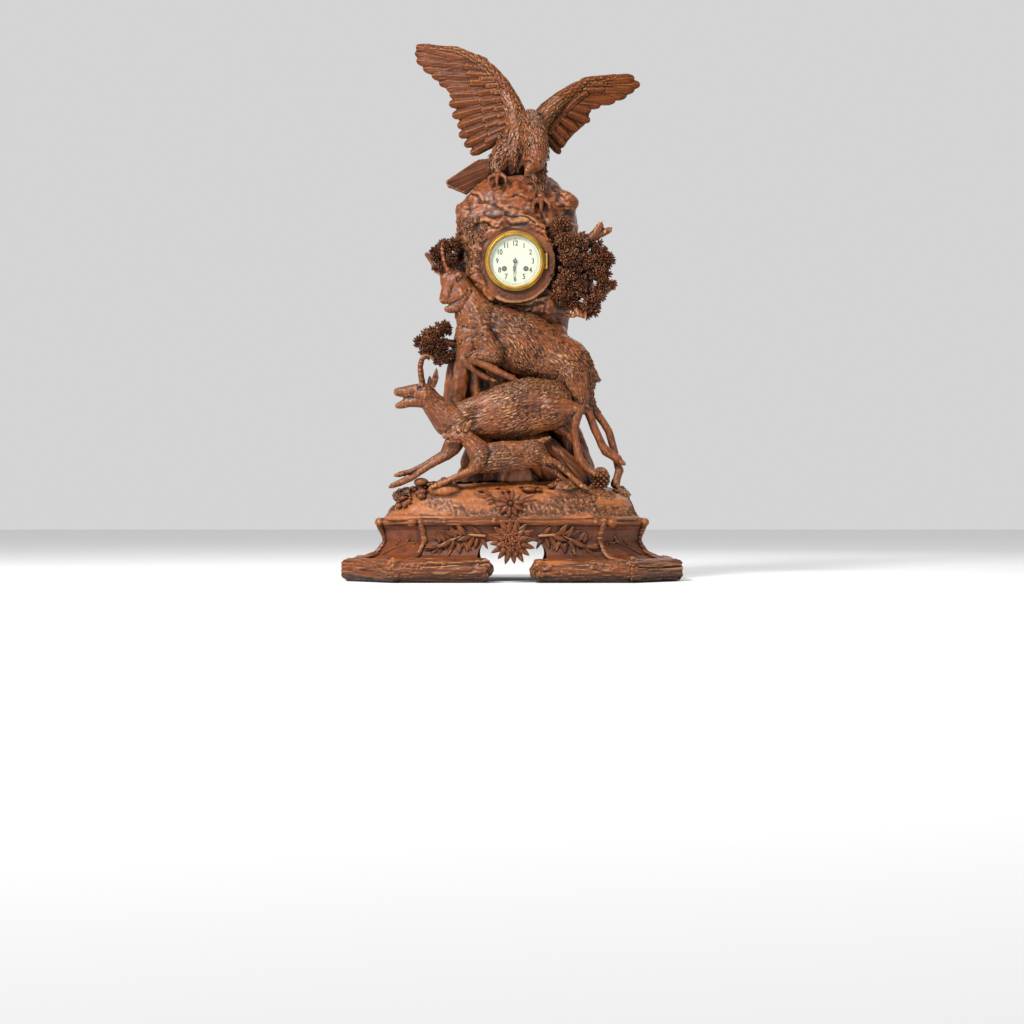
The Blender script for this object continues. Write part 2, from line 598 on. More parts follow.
# Rock column: the standing trunk of rock under the clock, cut in long flutes down its sides.
# It flares to the ground at the right, where the old root leans on it.
rock_wood = carved_wood("rock_walnut", DEEP, (0.2, 0.051, 0.0115), (0.6, 0.3, 0.12), grain=(1, 1, 0.16),
                        figure=26, mark_scale=230, mark_depth=1.0, rough=(0.3, 0.54), rub=0.45)
bm = bmesh.new()
add_node(bm, "rock_column")
for run in ([(-108, 12, 560, 26), (-122, 22, 480, 30), (-132, 14, 420, 30), (-120, 20, 372, 24)],
            [(96, -10, 560, 34), (84, -6, 470, 30), (96, -6, 400, 32), (128, -4, 330, 34),
             (158, -8, 260, 34)],
            [(-40, -14, 520, 28), (-30, -12, 430, 24), (-58, -12, 350, 26), (-92, -20, 270, 28)],
            [(30, -16, 360, 30), (60, -24, 290, 34), (96, -34, 236, 30)]):
    add_limb(bm, run)
column = block_out("rock_column_carving", bm, 3.4, 5)
skin = Skin(column)
p = skin.at
flat_back = 1 - span(p[:, 1] * 1000, 88, 98) * span(p[:, 2] * 1000, 290, 430)
seat = span(572 - p[:, 2] * 1000, 0, 20)
flute = rough_noise(p, (30, 30, 150), 21, 2)
crease = 1 - np.abs(rough_noise(p, (40, 40, 170), 23, 2)) * 3.2
chip = rough_noise(p, (22, 22, 26), 25, 3)
skin.push(flat_back * (0.25 + 0.75 * seat) * (6 * flute - 5 * np.clip(crease, 0, 1) + 2.0 * chip))
skin.mark_hollows()
finish_piece(column, rock_wood, "carved_walnut", "case", "rock_column")


# Boulder: the clock case, a rounded rock bored through for the movement, with ledges over the dial,
# a turned ring round the bezel and mossy ground at its left.
ledges = [[(-91, 886, 3), (-66, 862, 5), (-24, 845, 5), (5, 830, 5), (48, 812, 4)],
          [(0, 807, 3), (40, 808, 5), (77, 799, 5), (95, 777, 4)],
          [(77, 799, 4), (104, 812, 4), (126, 846, 4)],
          [(96, 905, 5), (118, 880, 6), (126, 842, 5), (120, 806, 4)],
          [(-104, 800, 4), (-66, 812, 4), (-30, 800, 3)],
          [(-72, 640, 5), (-30, 622, 6), (20, 618, 6), (70, 632, 5)],
          [(78, 660, 5), (52, 636, 5), (30, 600, 5)]]
DIAL = (7, -80, 722)
bm = bmesh.new()
add_node(bm, "boulder_case")
for x, y, z, r, f, h in ((84, 20, 908, 30, 1.2, 1.0), (60, 50, 900, 36, 1.0, 0.9),
                         (124, -14, 866, 33, 1.1, 1.0), (-62, 10, 890, 30, 1.3, 0.9),
                         (-104, -14, 836, 30, 1.2, 1.1), (-94, -30, 790, 36, 1, 1),
                         (-20, -34, 870, 34, 0.9, 0.8)):
    add_ball(bm, x, y, z, r, f, h)
round_dial = [(DIAL[0] + 91 * math.cos(math.radians(a)), -62, DIAL[2] + 91 * math.sin(math.radians(a)),
               16 + 2.5 * math.sin(0.13 * a)) for a in range(50, 236, 8)]
add_limb(bm, round_dial, 1.25)
boulder = block_out("boulder_case_carving", bm, 3.0, 5)
skin = Skin(boulder)
worn = skin.at
for _ in range(40):
    worn = skin.relax(worn)
skin.at = skin.at + (span(skin.at[:, 2] * 1000, 862, 905))[:, None] * (worn - skin.at)
skin.push(np.zeros(skin.count))
p = skin.at
dial_gap = np.hypot(p[:, 0] * 1000 - DIAL[0], p[:, 2] * 1000 - DIAL[2])
lower_right = span(0.75 * (p[:, 0] * 1000 - DIAL[0]) - 0.65 * (p[:, 2] * 1000 - DIAL[2]), -30, 55)
front = span(-p[:, 1] * 1000, -30, 10)
free = front * span(dial_gap - 12 * lower_right, 74, 84) + (1 - front) * span(dial_gap, 66, 74)
free = np.clip(free, 0, 1) * (1 - span(p[:, 1] * 1000, 90, 98)) * (0.2 + 0.8 * span(p[:, 2] * 1000, 577, 596))
room = (np.abs(p[:, 0] * 1000 - DIAL[0]) < 50) & (p[:, 1] * 1000 > -27) & (p[:, 2] * 1000 < 726)
free = np.where(room, 0, free)
swell = rough_noise(p, (90, 90, 80), 60, 2)
chip = rough_noise(p, (24, 24, 20), 63, 3)
moss = span(-p[:, 0] * 1000, 45, 70) * span(p[:, 2] * 1000, 690, 715) * span(826 - p[:, 2] * 1000, 0, 20)
moss = np.maximum(moss, span(p[:, 0] * 1000, 74, 92) * span(p[:, 2] * 1000, 640, 660)
                  * span(800 - p[:, 2] * 1000, 0, 20))
tuft = rough_noise(p, (10, 10, 9), 66, 2)
wander = np.stack([lattice(p / 0.02, 70), np.zeros(skin.count), lattice(p / 0.02, 71)], 1) * 0.004
cut = np.zeros(skin.count)
for ledge in ledges:
    for (x0, z0, w0), (x1, z1, w1) in zip(ledge, ledge[1:]):
        flat_p = (p + wander) * np.array([1, 0, 1])
        gap, share = line_gap(flat_p, (x0, 0, z0), (x1, 0, z1))
        over = (flat_p[:, 2] * 1000 - (z0 + share * (z1 - z0)))
        width = w0 + share * (w1 - w0)
        step = np.exp(-(np.maximum(0, gap - np.abs(over)) / 3) ** 2) * (
            np.exp(-((over - 7) / (1.7 * width)) ** 2) * 0.6
            - np.exp(-((over + 2) / (0.8 * width)) ** 2) * 0.8)
        cut = np.where(np.abs(step) > np.abs(cut), step, cut)
facet = np.abs(rough_noise(p, (58, 58, 44), 61, 2))
bark = np.clip(1 - np.abs(rough_noise(p, (46, 46, 22), 68, 2)) * 5, 0, 1)
cut = cut * (0.55 + 0.9 * np.clip(rough_noise(p, (50, 50, 50), 74, 1) + 0.4, 0, 1))
skin.push(free * (7 * swell - 6 * facet + 3.4 * chip - 1.4 * bark * (1 - moss) + 3.5 * moss * tuft
                  + 4.4 * cut * front))
skin.mark_hollows()
finish_piece(boulder, rock_wood, "carved_walnut", "case", "boulder_case")
moss_skin, moss_share = skin, moss * free * front


# Fallen root: a barkless trunk that leans from the rock to the ground behind the kid.
# Carved in one piece with long shallow furrows, and glued at its two ends.
bm = bmesh.new()
add_limb(bm, [(66, -34, 332, 12), (86, -44, 312, 15), (112, -52, 286, 17), (140, -54, 258, 19),
              (160, -50, 228, 22)])
add_limb(bm, [(60, -30, 342, 12), (66, -34, 332, 12)])
root = block_out("root_log_carving", bm, 2.4, 3)
skin = Skin(root)
p = skin.at
d = np.array([0.62, -0.1, -0.78])
q = np.stack([p @ d * 0.16, p @ np.array([0.78, 0, 0.62]), p[:, 1]], 1)
skin.push(1.2 * rough_noise(p, (30, 30, 30), 71, 2)
          - 1.8 * np.clip(1 - np.abs(rough_noise(q, (9, 9, 9), 72, 2)) * 2.5, 0, 1))
skin.mark_hollows()
finish_piece(root, bark_wood, "carved_walnut", "case", "root_log")


# Pine foliage: bundles of needles carved as ridged rosettes, crowded over a forked branch.
# One rosette has a few pointed needles; hundreds of them are set on the rounded tufts.
needle_wood = carved_wood("needle_walnut", DEEP, (0.15, 0.04, 0.0115), (0.5, 0.23, 0.1), grain=(1, 1, 1),
                          mark_scale=420, mark_depth=0.5, rough=(0.34, 0.56), rub=0.6, recess=0.6)


def rosette(chance):
    part = bmesh.new()
    for k in range(9):
        lean = 0.1 + 1.15 * (k / 8) ** 0.8
        spin = 2.4 * k + chance.random() * 0.4
        axis = Vector((math.sin(lean) * math.cos(spin), math.sin(lean) * math.sin(spin), math.cos(lean)))
        size = 1.0 - 0.25 * lean
        shape = Matrix.Translation(axis * 0.5 * size) @ axis.to_track_quat("Z", "Y").to_matrix().to_4x4()
        bmesh.ops.create_cone(part, cap_ends=True, segments=5, radius1=0.22, radius2=0.08, depth=size,
                              matrix=shape)
    mesh = bpy.data.meshes.new("rosette")
    part.to_mesh(mesh)
    part.free()
    return mesh


def add_rosettes(bm, tufts, density, size, seed, ahead=-0.6):
    chance = random.Random(seed)
    shapes = [rosette(chance) for _ in range(4)]
    for x, y, z, r in tufts:
        for _ in range(max(3, int(density * r * r / 100))):
            out = Vector((chance.gauss(0, 1), chance.gauss(ahead, 1), chance.gauss(0.15, 1))).normalized()
            at = Vector((x, y, z)) + out * r * 0.7
            if any((at - Vector(o[:3])).length < 0.62 * o[3] for o in tufts):
                continue
            scale = size * (0.75 + 0.5 * chance.random())
            place = (Matrix.Translation(at / 1000) @ out.to_track_quat("Z", "Y").to_matrix().to_4x4()
                     @ Matrix.Rotation(6.28 * chance.random(), 4, "Z") @ Matrix.Scale(scale / 1000, 4))
            bundle = chance.choice(shapes).copy()
            bundle.transform(place)
            bm.from_mesh(bundle)
            bpy.data.meshes.remove(bundle)


right_tufts = [(112, -66, 800, 22), (118, -80, 764, 22), (134, -88, 728, 24), (126, -84, 690, 24),
               (112, -74, 654, 22), (138, -50, 630, 22), (150, -84, 762, 22), (166, -80, 716, 25),
               (160, -76, 672, 24), (184, -70, 640, 22), (196, -74, 694, 24), (206, -72, 730, 22),
               (176, -60, 618, 19), (214, -66, 666, 19), (190, -66, 752, 17)]
left_tufts = [(-150, -46, 762, 16), (-172, -40, 742, 17), (-142, -50, 730, 16), (-164, -44, 708, 16),
              (-140, -46, 702, 15), (-128, -40, 764, 13)]
low_tufts = [(-158, -4, 578, 18), (-184, -8, 560, 18), (-208, -10, 540, 14), (-168, -6, 540, 20),
             (-190, -8, 524, 16), (-152, -4, 508, 17), (-170, -6, 514, 15)]
for name, node, groups, twigs in (
        ("pine_right_needles", "pine_branch_right", [right_tufts],
         [[(118, -20, 690, 16), (150, -62, 690, 12), (196, -66, 694, 7)],
          [(130, -50, 700, 10), (150, -66, 762, 7)],
          [(130, -50, 690, 10), (170, -60, 640, 7)]]),
        ("pine_left_needles", "pine_branches_left", [left_tufts, low_tufts],
         [[(-100, 10, 740, 12), (-140, -40, 736, 9), (-168, -42, 742, 6)],
          [(-100, 40, 540, 12), (-150, -2, 545, 9), (-196, -8, 542, 6)],
          [(-161, -50, 694, 4), (-178, -50, 716, 4), (-194, -46, 742, 5)]])):
    bm = bmesh.new()
    for group in groups:
        for x, y, z, r in group:
            add_ball(bm, x, y, z, 0.74 * r)
        add_rosettes(bm, group, 6.5, 13.5, len(group))
    for run in twigs:
        add_limb(bm, run, facets=10)
    needles = new_piece(name, bm)
    skin = Skin(needles)
    depth = np.full(skin.count, 9.0)
    for group in groups:
        for x, y, z, r in group:
            depth = np.minimum(depth, np.linalg.norm(skin.at * 1000 - np.array([x, y, z]), axis=1) / r)
    clump = rough_noise(skin.at, (24, 24, 16), 96, 2)
    skin.store("hollow", np.where(depth > 1.22, 0.25, np.clip(2.8 * (0.94 - depth) + 0.5 * clump, -1, 0.95)))
    finish_piece(needles, needle_wood, "dark_foliage", "case", node, flat=True)


# Grass on the ground, and moss at both sides of the dial, cut as short pointed blades.
# The same pointed blades serve as locks of hair on the animals and hackles on the eagle.
def add_locks(name, skin, coat, flow, number, length, width, seed, material, lift=1.0):
    """Pointed locks of hair laid on the skin along the flow: each a three-sided blade of ten faces."""
    chance = np.random.RandomState(seed)
    chosen = chance.choice(skin.count, number, p=coat / coat.sum(), replace=False)
    at, out = skin.at[chosen], skin.out[chosen]
    along = flow[chosen] - out * (flow[chosen] * out).sum(1)[:, None]
    along /= np.linalg.norm(along, axis=1)[:, None] + 1e-9
    side = np.cross(out, along)
    sway = chance.normal(0, 0.35, number)[:, None]
    along, side = along * np.cos(sway) + side * np.sin(sway), side * np.cos(sway) - along * np.sin(sway)
    size = (length * chance.uniform(0.7, 1.3, number))[:, None, None] / 1000
    outline = np.array([(-0.1, -0.4, -1.6), (-0.1, 0, -0.2), (-0.1, 0.4, -1.6), (0.3, -0.5, -1.2),
                        (0.3, 0, 0.7), (0.3, 0.5, -1.2), (0.7, -0.33, -0.9), (0.7, 0, 1.1),
                        (0.7, 0.33, -0.9), (1.08, 0, 0.5)])
    points = at[:, None] + size * (outline[None, :, :1] * along[:, None]
                                   + outline[None, :, 1:2] * width / length * side[:, None])
    points = points + outline[None, :, 2:] * lift / 1000 * out[:, None]
    points = np.clip(points, np.array(cad_box[0]), np.array(cad_box[1]))
    sides = [(0, 1, 2)] + [(k + i, k + 3 + i, k + 3 + (i + 1) % 3, k + (i + 1) % 3)
                           for k in (0, 3) for i in range(3)]
    sides += [(6 + i, 9, 6 + (i + 1) % 3) for i in range(3)]
    faces = [tuple(10 * n + v for v in face) for n in range(number) for face in sides]
    mesh = bpy.data.meshes.new(name)
    mesh.from_pydata(points.reshape(-1, 3).tolist(), [], faces)
    fixed = bmesh.new()
    fixed.from_mesh(mesh)
    bmesh.ops.recalc_face_normals(fixed, faces=fixed.faces)
    locks = new_piece(name, fixed)
    bpy.data.meshes.remove(mesh)
    tone = np.tile(np.array([0.7, 0.5, 0.7, 0.3, 0, 0.3, 0, -0.5, 0, -0.9]), number) + np.repeat(
        chance.uniform(-0.3, 0.5, number), 10)
    Skin(locks).store("hollow", np.clip(tone, -1, 1))
    return finish_piece(locks, material, "carved_walnut")


grass_flow = np.stack([0.6 * lattice(grass_skin.at / 0.03, 15), np.full(grass_skin.count, -0.3),
                       np.ones(grass_skin.count)], 1)
add_locks("ground_grass", grass_skin, grass_share + 1e-9, grass_flow, 1100, 9, 2.6, 16, ground_wood, 1.6)
clump = np.clip(rough_noise(moss_skin.at, (26, 26, 22), 91, 1) + 0.35, 0, 1)
upward = np.tile(np.array([-0.5, -0.2, 0.8]), (moss_skin.count, 1))
add_locks("rock_moss", moss_skin, moss_share * clump + 1e-9, upward, 900, 11, 4.8, 90, rock_wood, 2.4)


# Pine cone at the foot of the rock: rows of rounded scales round a core, dark as the needles.
# Whittled from one piece of walnut, with a short stalk that goes into the mound.
bm = bmesh.new()
add_ball(bm, 200, -78, 236, 15, 1, 1.2)
for row in range(7):
    high = -0.9 + 0.3 * row
    ring = math.sqrt(max(0.05, 1 - high * high))
    for k in range(8):
        a = 2 * math.pi * (k + 0.5 * (row % 2)) / 8
        out = Vector((math.cos(a), math.sin(a), 0.0))
        root_at = Vector((200, -78, 236 + 19 * high)) + out * 11 * ring
        tip_at = root_at + out * 8 + Vector((0, 0, -5))
        add_limb(bm, [(*root_at, 4.6), (*tip_at, 3.4)], facets=8)
add_limb(bm, [(200, -78, 218, 5), (202, -84, 208, 4)], facets=10)
cone = new_piece("pine_cone_scales", bm)
Skin(cone).mark_hollows(1, 3)
finish_piece(cone, needle_wood, "dark_foliage", "case", "pine_cone")


# Broken branch: a forked stub behind the pine tufts, its ends snapped off, and a looped twig below.
# Bare walnut of the same kind as the logs, rasped rough and glued into the rock.
bm = bmesh.new()
for run in ([(146, -40, 726, 12), (160, -54, 752, 12.5), (176, -62, 772, 12), (190, -66, 788, 10),
             (200, -68, 803, 8.5)],
            [(182, -64, 776, 10), (204, -64, 787, 8.5), (219, -66, 794, 7.5)],
            [(196, -70, 800, 4), (206, -72, 815, 1.5)],
            [(200, -64, 800, 4), (197, -62, 814, 2)], [(214, -68, 794, 4), (226, -68, 800, 1.5)],
            [(136, -50, 650, 7), (143, -66, 622, 6), (150, -74, 604, 5.5), (164, -74, 598, 5.5),
             (168, -70, 612, 5)],
            [(150, -74, 606, 5), (140, -66, 600, 5), (126, -50, 604, 5)]):
    add_limb(bm, run, facets=12)
branch = block_out("broken_branch_carving", bm, 1.8, 2)
skin = Skin(branch)
skin.push(1.9 * rough_noise(skin.at, (9, 9, 30), 81, 3))
skin.mark_hollows()
finish_piece(branch, bark_wood, "carved_walnut", "case", "broken_branch")


# Buck: the big chamois that leaps across the rock with its mouth open, its coat cut in short strokes.
# Shaggy along the back and flank, smooth on the face and lower legs.
coat_wood = carved_wood("coat_walnut", DEEP, (0.19, 0.052, 0.014), (0.6, 0.31, 0.13), grain=(0.35, 1, 1),
                        figure=60, marks=(0.28, 1, 1), turn=(0, math.radians(35), 0), mark_scale=420,
                        mark_depth=0.75, rough=(0.24, 0.46), rub=0.65)


def shaggy(skin, runs, seed, depth=1.5, length=11, width=3.2):
    """Short overlapping strokes that follow the nearest run: (balls, share of coat, lean)."""
    weight = np.zeros(skin.count)
    stroke = np.zeros(skin.count)
    coat = np.zeros(skin.count)
    flow = np.zeros((skin.count, 3))
    sway = np.stack([lattice(skin.at / 0.045, seed + 20 + k) for k in range(3)], 1) * 0.007
    p = skin.at + sway
    for balls, share, lean in runs:
        for a, b in zip(balls, balls[1:]):
            gap, _ = line_gap(skin.at, a[:3], b[:3])
            near = 1 / np.clip(gap / (0.5 * (a[3] + b[3])), 0.3, 9) ** 7
            d = np.array(b[:3], float) - np.array(a[:3], float)
            d /= np.linalg.norm(d)
            c, s = math.cos(lean), math.sin(lean)
            d = np.array([d[0] * c - d[2] * s, d[1], d[0] * s + d[2] * c])
            up = np.array([-d[2], 0, d[0]])
            up /= np.linalg.norm(up) + 1e-9
            side = np.cross(d, up)
            weight += near
            coat += near * share
            flow += near[:, None] * d
            if share > 0.04:
                q = np.stack([p @ d / length, p @ up / width, p @ side / width], 1) * 1000
                stroke += near * (lattice(q, seed) * 0.75 + lattice(q * 1.7 + 5.5, seed + 5) * 0.5)
    stroke, coat = stroke / weight, coat / weight
    tuft = rough_noise(skin.at, (17, 17, 14), seed + 9, 2)
    swell = rough_noise(skin.at, (60, 60, 50), seed + 11, 1)
    sinew = rough_noise(skin.at, (7, 7, 18), seed + 13, 2)
    patch = 0.35 + 0.65 * span(rough_noise(skin.at, (48, 48, 36), seed + 14, 2), -0.35, 0.3)
    skin.push(coat * (depth * stroke * patch + 1.9 * tuft + 2.2 * swell) + (1 - coat) * 0.8 * sinew)
    return coat * patch ** 1.5, flow


def carve_animal(name, runs, extra, seed, dents, locks, hooves, voxel=1.7, depth=1.5):
    """Body from runs of balls, then hooves, coat, muscles and loose locks cut over it."""
    bm = bmesh.new()
    for balls, share, lean, flat in runs:
        add_limb(bm, balls, flat)
    for x, y, z, dx, dz, r in hooves:
        size = math.hypot(dx, dz)
        for apart in (-1, 1):
            add_limb(bm, [(x, y + 0.3 * r * apart, z, 0.95 * r),
                          (x + 0.55 * dx, y + 0.45 * r * apart, z + 0.55 * dz, 0.85 * r),
                          (x + dx, y + 0.62 * r * apart, z + dz, 0.34 * r)], facets=10)
        add_ball(bm, x - 0.5 * r * dx / size - 0.7 * r * dz / size, y,
                 z - 0.5 * r * dz / size + 0.7 * r * dx / size, 0.5 * r)
    for ball in extra:
        add_ball(bm, *ball)
    animal = block_out(name, bm, voxel, 3)
    skin = Skin(animal)
    coat, flow = shaggy(skin, [(balls, share, lean) for balls, share, lean, flat in runs], seed, depth)
    shape = np.zeros(skin.count)
    for x, y, z, r, height in dents:
        gap = np.linalg.norm(skin.at * 1000 - np.array([x, y, z]), axis=1)
        shape += height * np.exp(-(gap / r) ** 2)
    skin.push(shape)
    skin.mark_hollows(2, 14)
    hairy = np.clip(coat - 0.22, 0, 1) * (0.3 + 0.7 * span(skin.out[:, 2], -0.3, 0.5)) + 1e-9
    # No lock grows where its tip would reach into the pendulum's room behind the animals.
    hairy *= (np.abs(skin.at[:, 0] * 1000 - DIAL[0]) > 66) | (skin.at[:, 1] * 1000 < -36) | (
        skin.at[:, 2] * 1000 < 515)
    add_locks(name.replace("carving", "locks"), skin, hairy, flow, *locks, seed, coat_wood, 0.75)
    return animal


b = -42
buck_runs = [
    ([(-66, b, 584, 54), (-24, b, 566, 66), (26, b, 540, 72), (76, b, 514, 62), (120, b, 492, 62)],
     1, -0.35, 0.6),
    ([(-90, b - 4, 560, 40), (-60, b, 560, 54)], 1, 0.9, 0.72),
    ([(134, b, 476, 50), (146, b - 2, 452, 44)], 1, 0.1, 0.62),
    ([(-104, b - 6, 652, 34), (-88, b - 3, 620, 44), (-74, b - 2, 592, 52)], 1, 0.15, 0.72),
    ([(-122, b - 10, 676, 27), (-108, b - 8, 656, 30)], 0.35, 0, 0.86),
    ([(-128, b - 14, 680, 25), (-122, b - 14, 652, 24)], 0.12, 0, 0.85),
    ([(-136, b - 16, 678, 22), (-143, b - 17, 660, 18), (-149, b - 19, 646, 15), (-153, b - 20, 639, 12.5)],
     0.05, 0, 0.85),
    ([(-116, b - 15, 652, 24), (-140, b - 18, 640, 14)], 0.05, 0, 0.9),
    ([(-108, b - 12, 648, 25), (-113, b - 15, 632, 20), (-126, b - 18, 621, 13), (-140, b - 19, 616, 9.5),
      (-147, b - 20, 616, 7)],
     0.05, 0, 0.9),
    ([(-140, b - 14, 696, 13), (-150, b - 15, 686, 14), (-152, b - 15, 676, 11)], 0.05, 0, 0.9),
    ([(-60, b - 26, 540, 32), (-40, b - 36, 512, 22), (-84, b - 42, 508, 13)], 0.45, 0.2, 0.9),
    ([(-84, b - 42, 508, 13), (-88, b - 44, 500, 11), (-52, b - 44, 484, 8.5), (-20, b - 44, 467, 7.5),
      (-10, b - 44, 462, 8), (0, b - 44, 457, 9), (8, b - 44, 452, 6)], 0.03, 0, 0.95),
    ([(-88, b - 8, 540, 30), (-106, b - 12, 512, 16), (-110, b - 16, 503, 12)], 0.3, 0, 0.9),
    ([(-110, b - 16, 503, 12), (-84, b - 18, 480, 9), (-58, b - 20, 462, 8.5), (-46, b - 20, 456, 6)],
     0.03, 0, 0.95),
    ([(136, b - 18, 462, 40), (148, b - 26, 424, 26), (160, b - 30, 394, 14)], 0.7, 0, 0.8),
    ([(160, b - 30, 394, 14), (172, b - 30, 384, 10), (186, b - 30, 346, 9.5), (205, b - 30, 304, 9.5),
      (212, b - 30, 294, 11.5), (226, b - 32, 284, 9.5), (238, b - 34, 276, 10.5),
      (246, b - 34, 268, 6)], 0.03, 0, 0.95),
    ([(148, b + 6, 452, 38), (166, b + 4, 414, 22), (180, b, 394, 13)], 0.7, 0, 0.8),
    ([(180, b, 394, 12), (204, b, 366, 9), (220, b, 340, 9), (228, b - 2, 312, 9), (240, b - 6, 264, 8.5),
      (244, b - 10, 250, 10), (238, b - 14, 232, 9), (234, b - 16, 220, 11)], 0.03, 0, 0.95),
    ([(168, b, 486, 18), (182, b - 2, 470, 12), (192, b - 4, 460, 7)], 0.8, 0, 0.7),
    ([(-100, b - 16, 690, 6), (-94, b - 22, 708, 9), (-91, b - 24, 724, 7), (-90, b - 24, 741, 2.5)],
     0.05, 0, 0.5),
    ([(-106, b + 6, 692, 5), (-103, b + 10, 714, 7), (-102, b + 12, 732, 2.5)], 0.05, 0, 0.5),
]
buck = carve_animal("buck_carving", buck_runs, [(-121, b - 31, 690, 8, 0.7)], 101,
                    dents=[(-121, b - 37, 681, 6.4, -5.2), (-121, b - 36, 681, 3.1, 3.6),
                           (-162, b - 28, 640, 3, -2.6), (-138, b - 36, 664, 9, -2.6),
                           (-112, b - 40, 650, 12, 2.4), (-152, b - 32, 650, 7, 1.2),
                           (-148, b - 34, 627, 4, -5), (-140, b - 36, 628, 4, -4.5),
                           (-132, b - 38, 630, 3.5, -3), (-157, b - 28, 626, 4, -4),
                           (-94, b - 30, 716, 5, -2.6), (-44, b - 38, 574, 12, -4),
                           (-36, b - 38, 552, 12, -4), (58, b - 42, 506, 24, -5.5),
                           (118, b - 36, 500, 26, 4), (-62, b - 38, 566, 18, 3.5),
                           (96, b - 40, 470, 14, -4), (10, b - 44, 552, 26, 3)],
                    depth=1.7, locks=(5600, 9.5, 2.7),
                    hooves=[(8, b - 44, 452, 12, -7, 6.5), (-46, b - 20, 456, 12, -6, 6),
                            (242, b - 34, 272, 14, -9, 7), (236, b - 16, 224, 4, -14, 8)])
finish_piece(buck, coat_wood, "carved_walnut", "case", "buck_body")

horn_wood = carved_wood("horn_walnut", DEEP, (0.2, 0.052, 0.013), (0.48, 0.2, 0.075), grain=(1, 1, 1),
                        mark_scale=260, mark_depth=0.4, rough=(0.2, 0.38))


def carve_horns(name, pairs, node):
    bm = bmesh.new()
    for run in pairs:
        rings = []
        for (x0, y0, z0, r0), (x1, y1, z1, r1) in zip(run, run[1:]):
            for k in range(5):
                t = k / 5
                ridge = 1 + 0.16 * (k % 2)
                rings.append((x0 + t * (x1 - x0), y0 + t * (y1 - y0), z0 + t * (z1 - z0),
                              (r0 + t * (r1 - r0)) * ridge))
        rings.append(run[-1])
        add_limb(bm, rings, facets=10)
    horns = block_out(name, bm, 1.3, 2)
    Skin(horns).mark_hollows()
    return finish_piece(horns, horn_wood, "dark_foliage", "case", node)


carve_horns("buck_horns_pair", [
    [(-138 + dx, b - 12 + dy, 694, 6), (-148 + dx, b - 12 + dy, 712, 5.6), (-155 + dx, b - 12 + dy, 738, 5),
     (-157 + dx, b - 11 + dy, 760, 4.4), (-149 + dx, b - 9 + dy, 770, 3.6), (-139 + dx, b - 8 + dy, 768, 2.6),
     (-135 + dx, b - 8 + dy, 760, 1.6)] for dx, dy in ((-2, -9), (6, 10))], "buck_horns")


# Doe: stretched at full gallop in front of the buck, bleating, with a long smooth neck.
# Its coat is cut in the same short strokes, and its horns are carved apart and set in.
d = -88
doe_runs = [
    ([(-112, d, 360, 42), (-60, d, 372, 52), (0, d, 385, 62), (42, d, 394, 64), (82, d, 396, 56)], 1, 0.15,
     0.5),
    ([(88, d, 404, 44), (98, d, 424, 24), (103, d, 440, 12)], 1, 0.2, 0.6),
    ([(-118, d, 352, 40), (-142, d - 1, 362, 38), (-164, d - 3, 384, 30), (-182, d - 4, 404, 25)],
     0.35, 0.3, 0.66),
    ([(-182, d - 4, 404, 25), (-196, d - 5, 421, 24)], 0.1, 0, 0.75),
    ([(-196, d - 5, 422, 24), (-218, d - 7, 426, 18), (-240, d - 8, 426, 13), (-256, d - 8, 426, 10.5)],
     0.03, 0, 0.85),
    ([(-196, d - 5, 409, 20), (-216, d - 7, 407, 15.5), (-234, d - 8, 403, 12), (-250, d - 8, 396, 8.5),
      (-257, d - 8, 395, 6.5)],
     0.03, 0, 0.85),
    ([(-176, d - 18, 438, 5), (-172, d - 24, 455, 8), (-170, d - 28, 468, 5), (-169, d - 28, 477, 2)],
     0.03, 0, 0.6),
    ([(-188, d + 12, 436, 5), (-186, d + 18, 452, 6), (-186, d + 20, 464, 2)], 0.03, 0, 0.6),
    ([(-122, d - 10, 332, 28), (-132, d - 15, 300, 17), (-146, d - 17, 284, 12)], 0.3, 0, 0.8),
    ([(-146, d - 17, 284, 11), (-186, d - 18, 260, 8.5), (-204, d - 18, 248, 8), (-222, d - 18, 234, 7),
      (-246, d - 19, 224, 8), (-268, d - 20, 215, 6)], 0.03, 0, 0.95),
    ([(-120, d + 8, 328, 26), (-150, d + 8, 288, 13)], 0.3, 0, 0.8),
    ([(-150, d + 8, 288, 11), (-196, d + 5, 262, 7.5), (-228, d + 3, 246, 7), (-252, d + 2, 242, 6)],
     0.03, 0, 0.95),
    ([(82, d - 4, 384, 38), (112, d - 12, 390, 24), (140, d - 14, 388, 15)], 0.35, 0, 0.8),
    ([(140, d - 14, 388, 14), (150, d - 15, 385, 12.5), (144, d - 14, 362, 10), (140, d - 14, 338, 8.5),
      (146, d - 14, 300, 8.5), (152, d - 14, 274, 10.5), (164, d - 15, 258, 9), (176, d - 16, 248, 8.5),
      (184, d - 17, 240, 6)],
      0.03, 0, 0.95),
    ([(84, d + 10, 378, 30), (104, d + 13, 350, 16), (126, d + 12, 334, 9), (152, d + 8, 302, 7.5),
      (170, d + 6, 268, 8)],
     0.1, 0, 0.9),
]
